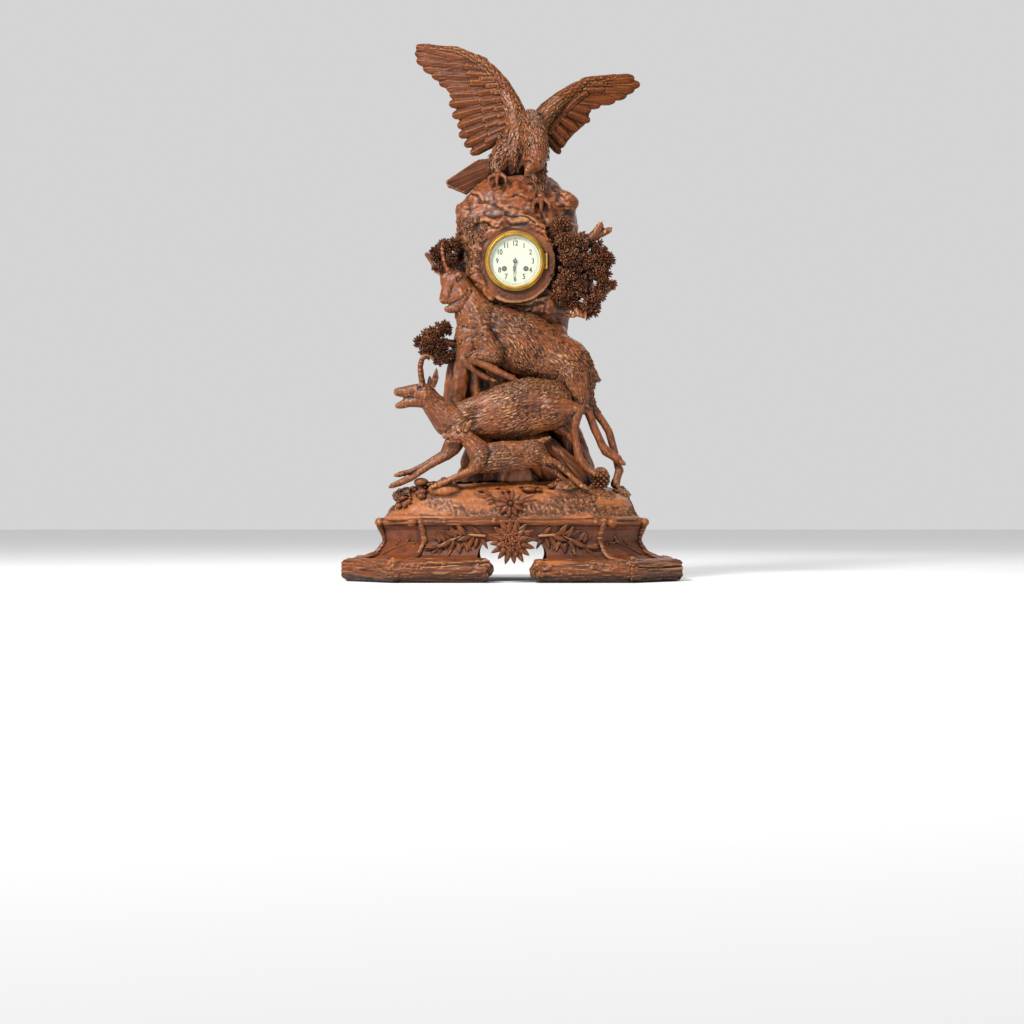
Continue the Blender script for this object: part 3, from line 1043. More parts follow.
doe = carve_animal("doe_carving", doe_runs, [(-205, d - 20, 441, 6.5, 0.7)], 131, voxel=1.6,
                   dents=[(-207, d - 26, 433, 5.2, -4.6), (-207, d - 25, 433, 2.6, 3),
                          (-262, d - 17, 430, 2.6, -2), (-224, d - 20, 424, 8, -2.4),
                          (-198, d - 24, 418, 10, 2.2), (-252, d - 14, 418, 6, -0.8),
                          (-230, d - 14, 412, 6, -2.4), (-172, d - 30, 458, 4.5, -2.2),
                          (-78, d - 26, 384, 12, -4), (-84, d - 24, 360, 12, -4),
                          (44, d - 32, 384, 22, -5.5), (84, d - 30, 402, 22, 4.5),
                          (-110, d - 24, 352, 18, 3.5), (100, d - 24, 372, 10, -3.5),
                          (-10, d - 30, 400, 24, 3)],
                   depth=1.5, locks=(4600, 9, 2.7),
                   hooves=[(-256, d - 19, 220, -20, -9, 7), (-246, d + 2, 242, -20, -4, 6.5),
                           (178, d - 16, 247, 14, -10, 7.5), (170, d + 6, 266, 4, -13, 6)])
finish_piece(doe, coat_wood, "carved_walnut", "case", "doe_body")
carve_horns("doe_horns_pair", [
    [(-202 + dx, d - 5 + dy, 440, 5.2), (-206 + dx, d - 5 + dy, 462, 5), (-208 + dx, d - 5 + dy, 484, 4.4),
     (-204 + dx, d - 5 + dy, 500, 4), (-195 + dx, d - 5 + dy, 508, 3.4), (-186 + dx, d - 4 + dy, 507, 2.6),
     (-180 + dx, d - 4 + dy, 499, 1.6)] for dx, dy in ((0, -7), (3, 7))], "doe_horns")


# Kid: the young one that runs at the front, smoother in the coat, ears back.
# The same walnut as the others, with shallower and finer strokes, and no horns.
k = -128
kid_runs = [
    ([(-62, k, 276, 32), (-20, k, 280, 35), (20, k, 282, 34), (48, k, 286, 31)], 0.7, 0.1, 0.55),
    ([(-68, k, 284, 28), (-84, k - 1, 304, 21), (-100, k - 2, 320, 17)], 0.3, 0.2, 0.8),
    ([(-100, k - 2, 322, 17), (-114, k - 3, 330, 16)], 0.08, 0, 0.85),
    ([(-114, k - 3, 329, 15.5), (-136, k - 4, 324, 10), (-151, k - 5, 326, 6.5)], 0.03, 0, 0.85),
    ([(-112, k - 3, 319, 10), (-140, k - 4, 315, 5.5)], 0.03, 0, 0.85),
    ([(-102, k - 15, 338, 4), (-96, k - 19, 350, 6), (-91, k - 20, 359, 2)], 0.03, 0, 0.6),
    ([(-110, k + 9, 338, 3), (-106, k + 12, 350, 5), (-103, k + 12, 358, 2)], 0.03, 0, 0.6),
    ([(-72, k - 8, 268, 18), (-88, k - 10, 252, 11)], 0.2, 0, 0.9),
    ([(-88, k - 10, 251, 9.5), (-112, k - 10, 240, 7), (-136, k - 10, 230, 6), (-158, k - 9, 219, 6.5),
      (-176, k - 8, 212, 5)],
     0.03, 0, 0.95),
    ([(-70, k + 8, 262, 16), (-100, k + 8, 242, 8), (-132, k + 8, 228, 5.5), (-160, k + 8, 216, 5.5)],
     0.03, 0, 0.95),
    ([(54, k - 5, 288, 22), (72, k - 8, 272, 12), (92, k - 8, 268, 8)], 0.2, 0, 0.9),
    ([(92, k - 8, 268, 7.5), (102, k - 8, 262, 7), (122, k - 6, 244, 5.8), (142, k - 5, 226, 6),
      (158, k - 4, 212, 6)],
     0.03, 0, 0.95),
    ([(54, k + 8, 282, 18), (74, k + 10, 258, 9), (96, k + 10, 248, 6), (116, k + 12, 228, 6),
      (134, k + 12, 214, 6)],
     0.03, 0, 0.95),
    ([(56, k, 308, 10), (68, k, 314, 7), (80, k, 319, 4)], 0.6, 0, 0.8),
]
kid = carve_animal("kid_carving", kid_runs, [(-119, k - 16, 337, 4.5, 0.7)], 151,
                   dents=[(-121, k - 18, 332, 4.2, -2.6), (-121, k - 17, 332, 2, 1.4),
                          (-152, k - 10, 328, 2, -1), (-134, k - 12, 322, 5, -1.2),
                          (-142, k - 10, 319, 3.5, -1.6), (-112, k - 20, 324, 7, 1.2),
                          (-48, k - 18, 284, 8, -2.5), (24, k - 18, 278, 12, -3),
                          (52, k - 16, 292, 12, 2.5)],
                   voxel=1.5, depth=1.0, locks=(2000, 7.5, 2.4),
                   hooves=[(-170, k - 8, 215, -13, -5, 6), (-158, k + 8, 217, -12, -5, 5),
                           (154, k - 4, 215, 12, -7, 6), (132, k + 12, 216, 12, -6, 5)])
finish_piece(kid, coat_wood, "carved_walnut", "case", "kid_body")


# Eagle body: bowed head, shaggy neck and thighs, shanks and claws that grip the rock.
# Rows of small feathers are cut over the breast, neck and thighs like shingles.
feather_wood = carved_wood("feather_walnut", DEEP, (0.16, 0.041, 0.0095), (0.62, 0.33, 0.14),
                           grain=(0.4, 1, 1), figure=44, marks=(0.22, 1, 1), mark_scale=420,
                           mark_depth=0.6, rough=(0.26, 0.46))


def shingle(a, b):
    """Height of roof-like rows of feathers: a counts the rows, b the feathers across."""
    top = np.full(len(a), -0.25)
    row = np.floor(a)
    for r in (row, row - 1):
        u = a - r
        v = (b + 0.5 * (r % 2)) % 1.0 - 0.5
        rise = 0.4 * u + 0.45 * (1 - (v / 0.62) ** 2) + 0.16 * (1 - np.minimum(1, np.abs(v) * 8))
        top = np.where((u / 1.5) ** 2 + (v / 0.62) ** 2 < 1, np.maximum(top, rise), top)
    return top


def plume(skin, runs, seed):
    """Feathers that run down the nearest limb: (balls, depth, flat, length, width)."""
    p = skin.at * 1000
    nearest = np.full(skin.count, 1e9)
    a, b, depth = (np.zeros(skin.count) for _ in range(3))
    flow = np.zeros((skin.count, 3))
    for k, (balls, height, _, length, width) in enumerate(runs):
        done = 0.0
        girth = sum(ball[3] for ball in balls) / len(balls)
        for one, two in zip(balls, balls[1:]):
            gap, t = line_gap(skin.at, one[:3], two[:3])
            d = np.array(two[:3], float) - np.array(one[:3], float)
            size = np.linalg.norm(d)
            d /= size
            front = np.array([0, -1, 0]) + d * d[1]
            front /= np.linalg.norm(front) + 1e-9
            out = p - (np.array(one[:3], float) + t[:, None] * d * size)
            angle = np.arctan2(out @ np.cross(d, front), out @ front)
            score = gap / (one[3] + t * (two[3] - one[3]))
            here = score < nearest
            nearest = np.where(here, score, nearest)
            a = np.where(here, (done + t * size) / length + 0.37 * k, a)
            b = np.where(here, angle * girth / width, b)
            depth = np.where(here, height, depth)
            flow = np.where(here[:, None], d, flow)
            done += size
    a = a + 0.35 * lattice(skin.at / 0.012, seed)
    b = b + 0.3 * lattice(skin.at / 0.014, seed + 1)
    skin.push(depth * (shingle(a, b) - 0.35)
              + 0.5 * np.minimum(depth, 1) * rough_noise(skin.at, (5, 5, 14), seed + 2, 2))
    return depth, flow


eagle_runs = [
    ([(26, -2, 1046, 28), (14, 2, 1010, 44), (6, 8, 972, 44), (2, 12, 944, 30)], 2.6, 1, 15, 12),
    ([(42, -8, 1048, 32), (44, -22, 1030, 35), (52, -46, 1002, 29), (57, -62, 972, 26)], 2.4, 1, 17, 8),
    ([(57, -64, 968, 26), (53, -78, 946, 21)], 1.2, 0.95, 9, 6),
    ([(50, -82, 946, 15), (42, -90, 934, 11), (35, -94, 924, 7.5), (31, -94, 915, 4), (31, -92, 909, 1.6)],
     0, 0.8, 9, 6),
    ([(54, -80, 936, 10), (44, -86, 923, 5), (40, -86, 918, 2.5)], 0, 0.8, 9, 6),
    ([(28, -80, 952, 5), (40, -95, 951, 5.5), (48, -97, 944, 3.5)], 0, 0.8, 9, 6),
    ([(60, -94, 949, 5), (74, -78, 952, 5.5)], 0, 0.9, 9, 6),
    ([(10, 0, 1040, 28), (2, -2, 1082, 20), (-14, 0, 1116, 15)], 2.4, 1, 15, 11),
    ([(52, 0, 1036, 26), (78, 2, 1070, 18), (104, 4, 1098, 14)], 2.4, 1, 15, 11),
    ([(-8, -6, 990, 30), (-28, -18, 960, 24), (-34, -30, 940, 13)], 3.0, 0.9, 20, 10),
    ([(-34, -32, 938, 11), (-30, -42, 922, 8)], 0.6, 1, 8, 6),
    ([(48, -18, 970, 29), (58, -36, 930, 20), (64, -46, 902, 14), (66, -50, 884, 10)], 2.8, 1, 20, 9),
    ([(66, -50, 884, 10), (66, -52, 868, 9)], 0.5, 1, 7, 6),
]
for foot, toes in (((-30, -42, 922, 8), [(-52, -52, 914), (-34, -60, 910), (-14, -56, 914)]),
                   ((66, -52, 866, 9.5), [(48, -68, 852), (66, -74, 848), (85, -66, 853)])):
    for x, y, z in toes:
        eagle_runs.append(([foot, ((foot[0] + x) / 2, (foot[1] + y) / 2 - 3, (foot[2] + z) / 2 + 3, 6),
                            (x, y, z, 5), (x, y - 5, z - 8, 3.2), (x + 0.5, y - 4, z - 17, 1.2)],
                           0, 1, 8, 6))
bm = bmesh.new()
for balls, height, flat, length, width in eagle_runs:
    add_limb(bm, balls, flat)
eagle = block_out("eagle_carving", bm, 1.7, 3)
skin = Skin(eagle)
feathered, flow = plume(skin, eagle_runs, 171)
for x, y, z, r, height in ((40, -95, 944, 3.6, -3.4), (40, -93, 944, 1.8, 2.4), (64, -92, 943, 3.4, -3),
                           (36, -99, 928, 2, -1.5)):
    skin.push(height * np.exp(-(np.linalg.norm(skin.at * 1000 - np.array([x, y, z]), axis=1) / r) ** 2))
skin.mark_hollows(2, 12)
long_hair = np.clip(feathered - 1.3, 0, 1) * (skin.at[:, 2] < 1.075) + 1e-9
add_locks("eagle_hackles", skin, long_hair, flow, 1100, 15, 4.2, 173, feather_wood, 1.5)
finish_piece(eagle, feather_wood, "carved_walnut", "case", "eagle_body")


def feather_relief(x, z, feathers, base, crown, lift, reach=False):
    """Height of overlapping blades over the points x, z of the wing plane, up to its rim where asked."""
    top = np.zeros(len(x))
    for x0, z0, x1, z1, w in feathers:
        length = math.hypot(x1 - x0, z1 - z0)
        dx, dz = (x1 - x0) / length, (z1 - z0) / length
        u = ((x - x0) * dx + (z - z0) * dz) / length
        s = ((z - z0) * dx - (x - x0) * dz) / (w / 2)
        if reach:
            u = u / u[np.abs(s) < 0.5].max()
        half = np.sqrt(np.clip(1 - np.maximum(0, (u - 0.84) / 0.16) ** 2, 0, 1))
        inside = (u > -0.03) & (u < 1) & (np.abs(s) < half + 0.02)
        rise = (base + crown * (1 - (s / np.maximum(half, 0.05)) ** 2) + lift * s * math.copysign(1, -dx)
                + 0.5 * (1 - np.minimum(1, np.abs(s) * 7)))
        top = np.where(inside, np.maximum(top, rise), top)
    return top


# Eagle wings: long flat primaries at the tip, rounded secondaries below, and rows of coverts that lead up
# to a thick scaled leading edge. Each wing is one board, cut in relief, and sweeps back ten degrees.
left_flight = [(-67, 1193, -226, 1236, 25), (-69, 1185, -229, 1222, 25), (-69, 1177, -225, 1204, 25),
               (-67, 1167, -210, 1186, 25), (-63, 1158, -189, 1168, 26), (-59, 1148, -172, 1150, 26),
               (-55, 1138, -154, 1136, 26), (-36, 1121, -147, 1121, 25), (-28, 1109, -148, 1099, 26),
               (-20, 1097, -141, 1072, 27), (-13, 1082, -128, 1047, 26), (-5, 1066, -125, 1025, 26),
               (3, 1051, -112, 1002, 25), (9, 1035, -98, 983, 24)]
left_coverts = [(-32, 1126, -78, 1123, 19), (-30, 1105, -76, 1102, 19), (-24, 1090, -72, 1081, 19),
                (-16, 1074, -66, 1059, 19), (-11, 1058, -60, 1042, 19), (-5, 1043, -54, 1024, 19),
                (-8, 1028, -62, 1007, 19), (-44, 1146, -96, 1148, 19), (-50, 1162, -106, 1168, 17),
                (-56, 1176, -112, 1186, 15)]
left_small = [(-9, 1125, -48, 1122, 14), (-5, 1107, -44, 1104, 14), (1, 1090, -38, 1083, 14),
              (5, 1074, -32, 1065, 14), (9, 1056, -28, 1048, 14), (15, 1039, -22, 1028, 14),
              (-24, 1140, -60, 1138, 13), (-36, 1153, -70, 1154, 12)]
right_flight = [(170, 1150, 289, 1166, 22), (168, 1140, 303, 1152, 22), (166, 1129, 289, 1139, 22),
                (162, 1119, 271, 1125, 22), (150, 1110, 244, 1112, 22), (148, 1102, 208, 1098, 20),
                (130, 1096, 186, 1085, 20), (118, 1085, 184, 1062, 23), (106, 1070, 155, 1039, 22),
                (96, 1055, 133, 1021, 21), (88, 1039, 124, 1003, 20), (82, 1020, 114, 984, 19)]
right_small = [(172, 1126, 143, 1105, 15), (158, 1118, 131, 1093, 15), (146, 1106, 120, 1082, 15),
               (130, 1091, 106, 1064, 15), (118, 1075, 96, 1047, 15), (176, 1146, 222, 1150, 14),
               (172, 1133, 216, 1136, 14), (100, 1058, 86, 1028, 14)]
left_edge = [(24, 1052, 22), (4, 1098, 19), (-19, 1140, 16), (-46, 1174, 13), (-80, 1200, 10),
             (-130, 1226, 7), (-200, 1234, 5)]
right_edge = [(52, 1046, 24), (80, 1080, 24), (112, 1108, 21), (145, 1134, 16), (186, 1156, 10),
              (240, 1167, 6)]
wing_wood = carved_wood("wing_walnut", DEEP, (0.115, 0.028, 0.006), (0.46, 0.2, 0.065), grain=(0.25, 1, 1),
                        figure=44, marks=(0.22, 1, 1), mark_scale=420, mark_depth=0.45,
                        rough=(0.42, 0.62), rub=0.5, shine=0.14)
for side, node, flight, long_crown, rows, edge, middle in (
        (1, "eagle_wing_left", left_flight, 7, [(left_coverts, 2.6), (left_small, 4.4)],
         left_edge, (-60, 1105)),
        (-1, "eagle_wing_right", right_flight, 5, [(right_small, 3.4)], right_edge, (150, 1090))):
    blades = bmesh.new()
    add_node(blades, node)
    sweep = math.radians(10 * side)
    lay_flat = Matrix.Rotation(sweep, 4, "Z")
    shrink = (Matrix.Translation(point(middle[0], 0, middle[1])) @ Matrix.Diagonal((0.84, 0.5, 0.86, 1))
              @ Matrix.Translation(-point(middle[0], 0, middle[1])))
    bmesh.ops.transform(blades, matrix=shrink @ lay_flat, verts=blades.verts)
    add_limb(blades, [(x, 0, z, 0.85 * r) for x, z, r in edge], facets=14)
    for n, (x0, z0, x1, z1, w) in enumerate(flight):
        size = math.hypot(x1 - x0, z1 - z0)
        dx, dz = (x1 - x0) / size, (z1 - z0) / size
        r = w / 2 if n >= long_crown else w / 2 + 1.5
        thick = 0.5 if n < long_crown else 0.78
        y = 1.6 * (n % 2) - 0.8
        add_limb(blades, [(x0, y, z0, 0.92 * r), (x0 + 0.5 * dx * size, y, z0 + 0.5 * dz * size, r),
                          (x1 - 1.5 * dx * r, y - 1, z1 - 1.5 * dz * r, 0.97 * r),
                          (x1 - 0.72 * dx * r, y - 1, z1 - 0.72 * dz * r, 0.72 * r)], thick, 14)
    chance = random.Random(7)
    for depth, (feathers, _) in enumerate(rows):
        for x0, z0, x1, z1, w in feathers:
            x1, z1 = x1 + chance.uniform(-9, 9), z1 + chance.uniform(-3, 3)
            size = math.hypot(x1 - x0, z1 - z0)
            dx, dz = (x1 - x0) / size, (z1 - z0) / size
            add_limb(blades, [(x0, -5 - 2.5 * depth, z0, 0.5 * w),
                              (x1 - 0.5 * dx * w, -5.5 - 2.5 * depth, z1 - 0.5 * dz * w, 0.5 * w)],
                     0.62, 12)
    bmesh.ops.transform(blades, matrix=lay_flat.inverted(), verts=blades.verts)
    wing = block_out(node + "_carving", blades, 1.5, 1)
    skin = Skin(wing)
    x = (skin.at[:, 0] * math.cos(sweep) - skin.at[:, 1] * math.sin(sweep)) * 1000
    z = skin.at[:, 2] * 1000
    face = skin.out[:, 0] * math.sin(sweep) + skin.out[:, 1] * math.cos(sweep)
    quills = feather_relief(x, z, flight, 0.2, 0.6, 0.8)
    relief = quills
    for feathers, base in rows:
        relief = np.maximum(relief, feather_relief(x, z, feathers, 0.5 * base, 0.8, 0.4))
    run = 0.0
    for (x0, z0, r0), (x1, z1, r1) in zip(edge, edge[1:]):
        gap, t = line_gap(np.stack([x, 0 * x, z], 1) / 1000, (x0, 0, z0), (x1, 0, z1))
        size = math.hypot(x1 - x0, z1 - z0)
        across = (z - z0) * (x1 - x0) / size - (x - x0) * (z1 - z0) / size
        width = r0 + t * (r1 - r0)
        band = 1.0 + 2.4 * shingle((run + t * size) / 11 + 0.4 * across / 10, across / 8)
        relief = np.where(gap < width, np.maximum(relief, band * np.minimum(1, width / 9)), relief)
        run += size
    blur = rough_noise(np.stack([x * 0.2, 0 * x, z], 1) / 1000, (3.6, 3.6, 3.6), 200, 2)
    barb = 0.6 * blur * span(rough_noise(skin.at, (60, 60, 60), 202, 1), -0.6, 0.2)
    skin.push((relief + barb) * np.clip(-1.5 * face, 0, 1)
              + (0.7 * quills + barb) * np.clip(1.5 * face, 0, 1))
    skin.mark_hollows(2, 12)
    finish_piece(wing, wing_wood, "carved_walnut", "case", node)


# Eagle tail: a closed fan of five long feathers that slopes down behind the rock.
# One thin board of the same dark walnut as the wings, let into the rump.
bm = bmesh.new()
add_node(bm, "eagle_tail")
add_limb(bm, [(-4, 20, 962, 22), (-50, 26, 948, 14)], facets=12)
tail = block_out("eagle_tail_carving", bm, 1.7, 2)
skin = Skin(tail)
fan = [(-20, 968, -152, 918, 22), (-20, 962, -150, 908, 22), (-20, 955, -138, 898, 22),
       (-22, 947, -120, 892, 22), (-24, 938, -100, 890, 22)]
x, z = skin.at[:, 0] * 1000, skin.at[:, 2] * 1000
ribs = feather_relief(x, z, fan, 0.3, 1.6, 0.9, True)
rim = span(1 - np.abs(skin.out[:, 1]), 0.3, 0.75) * (ribs < 0.05) * (x < -60)
skin.push(ribs * np.clip(1.5 * np.abs(skin.out[:, 1]), 0, 1) - 4 * rim)
skin.mark_hollows(2, 12)
finish_piece(tail, wing_wood, "carved_walnut", "case", "eagle_tail")


# Bezel: a cast brass ring with two milled bands and a polished step, hinged at its right.
# The brass, bronze and steel of the whole movement are finished here too.
def metal(name, colour, rough, scale=300.0, bump=0.15):
    made = bpy.data.materials.new(name)
    made.use_nodes = True
    tree = made.node_tree
    tree.nodes.clear()
    place = tree.nodes.new("ShaderNodeTexCoord").outputs["Object"]
    stain = shader_node(tree, "ShaderNodeTexNoise", Vector=place, Scale=38.0, Detail=5.0).outputs["Fac"]
    grit = shader_node(tree, "ShaderNodeTexNoise", Vector=place, Scale=scale, Detail=3.0).outputs["Fac"]
    dim = tuple(0.62 * c for c in colour)
    tone = tone_ramp(tree, stain, [(0.35, dim), (0.6, colour)])
    hide = shader_node(tree, "ShaderNodeBump", Strength=bump, Distance=0.0006, Height=grit).outputs["Normal"]
    shader = shader_node(tree, "ShaderNodeBsdfPrincipled", Base_Color=tone,
                         Roughness=spread(tree, stain, 0.3, 0.7, rough * 1.5, rough), Normal=hide)
    shader.inputs["Metallic"].default_value = 1.0
    output = tree.nodes.new("ShaderNodeOutputMaterial")
    tree.links.new(shader.outputs["BSDF"], output.inputs["Surface"])
    return made


brass = metal("lacquered_brass", (0.56, 0.34, 0.07), 0.32)
bell_bronze = metal("turned_bell_metal", (0.6, 0.45, 0.2), 0.25)
steel = metal("polished_steel", (0.2, 0.2, 0.22), 0.3)
for node in ("bezel_seat", "front_plate", "back_plate", "pillars", "going_barrel", "strike_barrel",
             "hour_wheel", "minute_wheel", "third_wheel", "escape_wheel", "pendulum", "door_hinge",
             "door_button"):
    dress(node, brass)
dress("bell", bell_bronze)
for node in ("going_arbor", "strike_arbor", "centre_arbor", "anchor", "hammer"):
    dress(node, steel)
dress("back_door", flat_wood)

to_dial = Matrix.Translation(point(*DIAL)) @ Matrix.Rotation(math.pi / 2, 4, "X") @ Matrix.Scale(0.001, 4)
bm = bmesh.new()
profile = [(57.2, 4.3), (68.3, 4.3), (68.3, 8.2), (67.2, 9.4), (66.2, 10.4), (65.9, 12.2), (65.2, 13.0),
           (64.4, 12.4), (63.9, 13.4), (62.6, 14.6), (61.2, 14.9), (60.1, 14.2), (59.4, 12.8), (58.6, 12.6),
           (57.9, 11.9), (57.2, 11.0)]
ring = [bm.verts.new((r, 0, w)) for r, w in profile]
for one, two in zip(ring, ring[1:] + ring[:1]):
    bm.edges.new((one, two))
bmesh.ops.spin(bm, geom=bm.verts[:] + bm.edges[:], cent=(0, 0, 0), axis=(0, 0, 1), angle=2 * math.pi,
               steps=360, use_merge=True, use_duplicate=False)
bmesh.ops.remove_doubles(bm, verts=bm.verts, dist=1e-4)
for v in bm.verts:
    r = math.hypot(v.co.x, v.co.y)
    tooth = round(math.degrees(math.atan2(v.co.y, v.co.x))) % 2
    if 62 < r < 65.5 and v.co.z > 12.3 and tooth:
        v.co.z -= 0.7
    if 58.3 < r < 59.6 and v.co.z > 12 and tooth:
        v.co.z -= 0.5
knuckle = Matrix.Translation((71.5, 0, 4.6)) @ Matrix.Rotation(math.pi / 2, 4, "X")
bmesh.ops.create_cone(bm, cap_ends=True, segments=32, radius1=2.6, radius2=2.6, depth=14.4, matrix=knuckle)
leaf = Matrix.Translation((68.6, 0, 5.3)) @ Matrix.Diagonal((6, 14.4, 2, 1))
bmesh.ops.create_cube(bm, size=1, matrix=leaf)
bmesh.ops.recalc_face_normals(bm, faces=bm.faces)
bmesh.ops.transform(bm, matrix=to_dial, verts=bm.verts)
bezel = new_piece("bezel_ring", bm)
finish_piece(bezel, brass, "gilt_brass", "bezel", "bezel", flat=True)
trim = bezel.modifiers.new("soft_edges", "BEVEL")
trim.width = 0.00012
trim.segments = 1
trim.limit_method = "ANGLE"
settle(bezel)
bezel.data.polygons.foreach_set("use_smooth", [False] * len(bezel.data.polygons))


# Glass: a flat clear pane, held in the groove of the bezel.
# It is thin and almost colourless, so it shows only as a faint gloss.
clear = bpy.data.materials.new("clear_pane")
clear.use_nodes = True
pane = clear.node_tree.nodes["Principled BSDF"]
pane.inputs["Base Color"].default_value = (0.97, 1, 0.98, 1)
pane.inputs["Roughness"].default_value = 0.03
pane.inputs["IOR"].default_value = 1.45
pane.inputs["Transmission Weight"].default_value = 0.0
pane.inputs["Specular IOR Level"].default_value = 0.25
pane.inputs["Alpha"].default_value = 0.05
dress("bezel_glass", clear)


# Dial: cream enamel on copper with black figures and a fine minute track, fired on.
# Three steel collars line the winding holes and the centre.
enamel = bpy.data.materials.new("cream_enamel")
enamel.use_nodes = True
tree = enamel.node_tree
face = tree.nodes["Principled BSDF"]
place = tree.nodes.new("ShaderNodeTexCoord").outputs["Object"]
haze = shader_node(tree, "ShaderNodeTexNoise", Vector=place, Scale=30.0, Detail=4.0).outputs["Fac"]
tree.links.new(tone_ramp(tree, haze, [(0.35, (0.47, 0.51, 0.36)), (0.65, (0.53, 0.57, 0.43))]),
               face.inputs["Base Color"])
ripple = shader_node(tree, "ShaderNodeBump", Strength=0.08, Distance=0.0004, Height=haze).outputs["Normal"]
tree.links.new(ripple, face.inputs["Normal"])
face.inputs["Roughness"].default_value = 0.16
dress("dial", enamel)

ink = bpy.data.materials.new("fired_black")
ink.use_nodes = True
tree = ink.node_tree
worn = shader_node(tree, "ShaderNodeTexNoise",
                   Vector=tree.nodes.new("ShaderNodeTexCoord").outputs["Object"], Scale=500.0)
tree.links.new(tone_ramp(tree, worn.outputs["Fac"],
                         [(0.3, (0.004, 0.004, 0.005)), (0.7, (0.012, 0.012, 0.012))]),
               tree.nodes["Principled BSDF"].inputs["Base Color"])
tree.nodes["Principled BSDF"].inputs["Roughness"].default_value = 0.3

bm = bmesh.new()
for minute in range(60):
    a = math.radians(6 * minute)
    long = 1.9 if minute % 5 == 0 else 1.1
    wide = 0.9 if minute % 5 == 0 else 0.4
    tick = (Matrix.Rotation(-a, 4, "Z") @ Matrix.Translation((0, 51.6, 0.12))
            @ Matrix.Diagonal((wide, long, 0.16, 1)))
    bmesh.ops.create_cube(bm, size=1, matrix=tick)
for radius in (50.4, 52.8):
    rings = bmesh.ops.create_circle(bm, segments=120, radius=radius - 0.14)["verts"]
    outer = bmesh.ops.create_circle(bm, segments=120, radius=radius + 0.14)["verts"]
    for v in rings + outer:
        v.co.z = 0.14
    edges = [e for e in bm.edges if e.verts[0] in set(rings + outer) and e.verts[1] in set(rings + outer)]
    bmesh.ops.bridge_loops(bm, edges=edges)
bmesh.ops.transform(bm, matrix=to_dial, verts=bm.verts)
track = new_piece("minute_track", bm)
finish_piece(track, ink, "dial_enamel", flat=True)

figures = []
for hour in range(1, 13):
    text = bpy.data.curves.new(f"figure_{hour}", "FONT")
    text.body = str(hour)
    text.size = 15.5
    text.align_x = "CENTER"
    text.align_y = "CENTER"
    text.extrude = 0.06
    text.offset = 0.3
    shape = bpy.data.objects.new(f"figure_{hour}", text)
    bpy.context.scene.collection.objects.link(shape)
    bpy.context.view_layer.update()
    mesh = bpy.data.meshes.new_from_object(shape.evaluated_get(bpy.context.evaluated_depsgraph_get()))
    bpy.data.objects.remove(shape)
    a = math.radians(30 * hour)
    place = (to_dial @ Matrix.Translation((40.3 * math.sin(a), 40.3 * math.cos(a), 0.16))
             @ Matrix.Diagonal((0.86, 1.1, 1, 1)))
    mesh.transform(place)
    figures.append(mesh)
bm = bmesh.new()
for mesh in figures:
    for shift in (-0.0002, 0.0002):
        double = mesh.copy()
        double.transform(Matrix.Translation((shift, 0, 0)))
        bm.from_mesh(double)
numerals = new_piece("hour_figures", bm)
finish_piece(numerals, ink, "dial_enamel", flat=True)

bm = bmesh.new()
for u, v, inner, outer in ((-24.4, -16.8, 4.2, 6.0), (24.4, -16.8, 4.2, 6.0), (0, 0, 3.5, 5.0)):
    hole = [bm.verts.new((r, 0, w)) for r, w in ((inner, -1.6), (inner, 0.25), (inner + 0.35, 0.45),
                                                 (outer, 0.3), (outer, 0.0))]
    for one, two in zip(hole, hole[1:]):
        bm.edges.new((one, two))
    walls = [e for e in bm.edges if e.verts[0] in hole and e.verts[1] in hole]
    bmesh.ops.spin(bm, geom=hole + walls, cent=(0, 0, 0), axis=(0, 0, 1), angle=2 * math.pi, steps=40,
                   use_merge=True, use_duplicate=False)
    moved = [v for v in bm.verts if not v.tag]
    bmesh.ops.translate(bm, vec=(u, v, 0), verts=moved)
    for vert in bm.verts:
        vert.tag = True
bmesh.ops.remove_doubles(bm, verts=bm.verts, dist=1e-4)
bmesh.ops.recalc_face_normals(bm, faces=bm.faces)
bmesh.ops.transform(bm, matrix=to_dial, verts=bm.verts)
grommets = new_piece("winding_collars", bm)
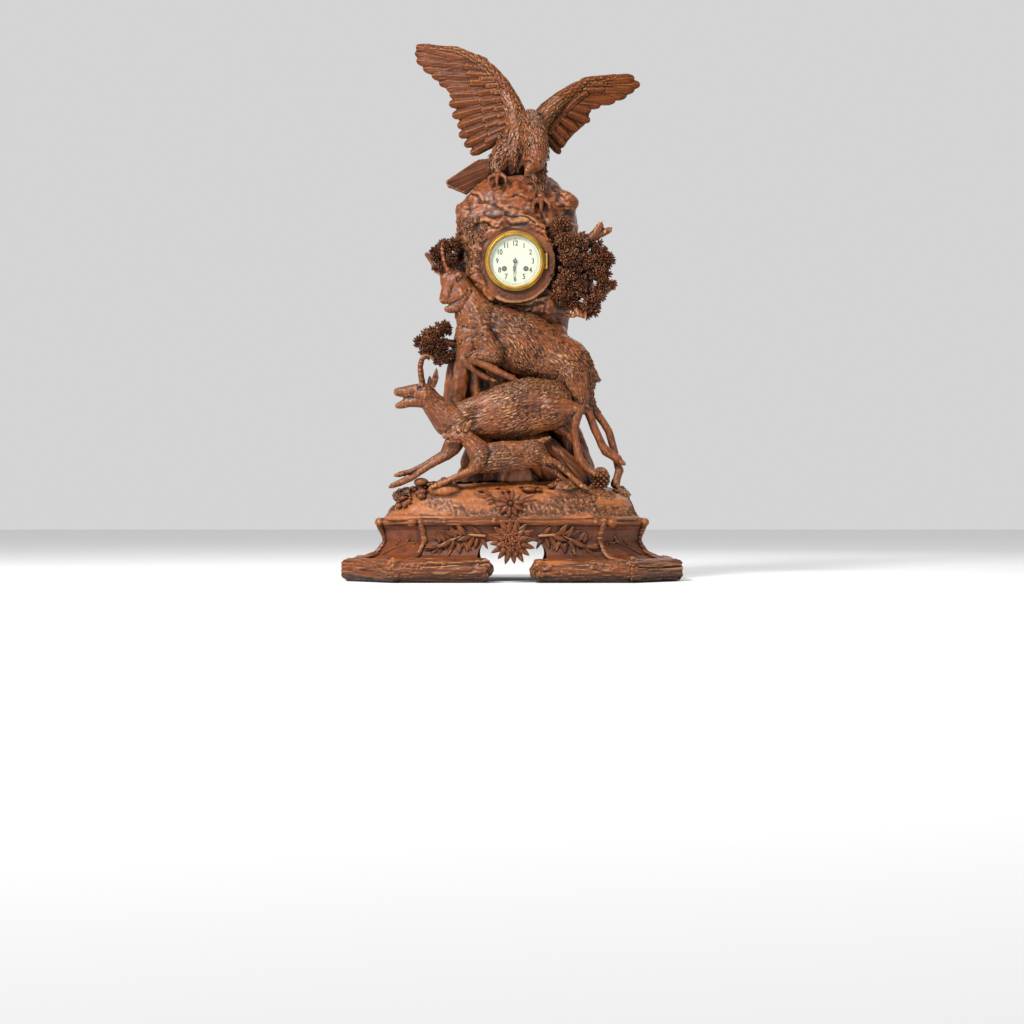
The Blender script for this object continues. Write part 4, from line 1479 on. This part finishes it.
dark_steel = metal("blued_steel_dark", (0.014, 0.014, 0.02), 0.4)
finish_piece(grommets, dark_steel, "blued_steel")
for node in ("hour_hand", "minute_hand"):
    dress(node, dark_steel)


# Floor, lights and camera: a plain pale sweep with a large soft key at the upper left.
floor_paint = bpy.data.materials.new("pale_floor")
floor_paint.use_nodes = True
floor_paint.node_tree.nodes["Principled BSDF"].inputs["Base Color"].default_value = (0.8, 0.8, 0.8, 1)
floor_paint.node_tree.nodes["Principled BSDF"].inputs["Roughness"].default_value = 0.7
bm = bmesh.new()
bmesh.ops.create_grid(bm, x_segments=1, y_segments=1, size=12)
floor = new_piece("floor", bm)
floor.data.materials.append(floor_paint)

world = bpy.data.worlds.new("studio")
bpy.context.scene.world = world
world.use_nodes = True
world.node_tree.nodes["Background"].inputs["Color"].default_value = (1, 1, 1, 1)
world.node_tree.nodes["Background"].inputs["Strength"].default_value = 0.66


def lamp(name, place, aim, size, power):
    light = bpy.data.lights.new(name, "AREA")
    light.shape = "RECTANGLE"
    light.size, light.size_y = size
    light.energy = power
    holder = bpy.data.objects.new(name, light)
    bpy.context.scene.collection.objects.link(holder)
    holder.location = place
    holder.rotation_euler = (Vector(aim) - Vector(place)).to_track_quat("-Z", "Y").to_euler()


lamp("key", (-1.5, -2.2, 2.4), (0, 0, 0.55), (0.65, 0.65), 150)
lamp("fill", (2.3, -2.6, 1.1), (0, 0, 0.6), (1.4, 1.6), 8)
lamp("top", (0.2, 0.2, 3.0), (0, 0, 0.5), (1.3, 1.2), 14)
lamp("back", (1.2, 2.4, 2.0), (0, 0, 0.6), (1.6, 1.6), 9)

camera = bpy.data.cameras.new("camera")
camera.lens = 64.8
camera.sensor_width = 36
camera.clip_end = 60
holder = bpy.data.objects.new("camera", camera)
bpy.context.scene.collection.objects.link(holder)
holder.location = (0, -4.24, 0.156)
holder.rotation_euler = (math.pi / 2, 0, 0)
bpy.context.scene.camera = holder
bpy.context.scene.view_settings.view_transform = "Standard"

bpy.context.view_layer.update()
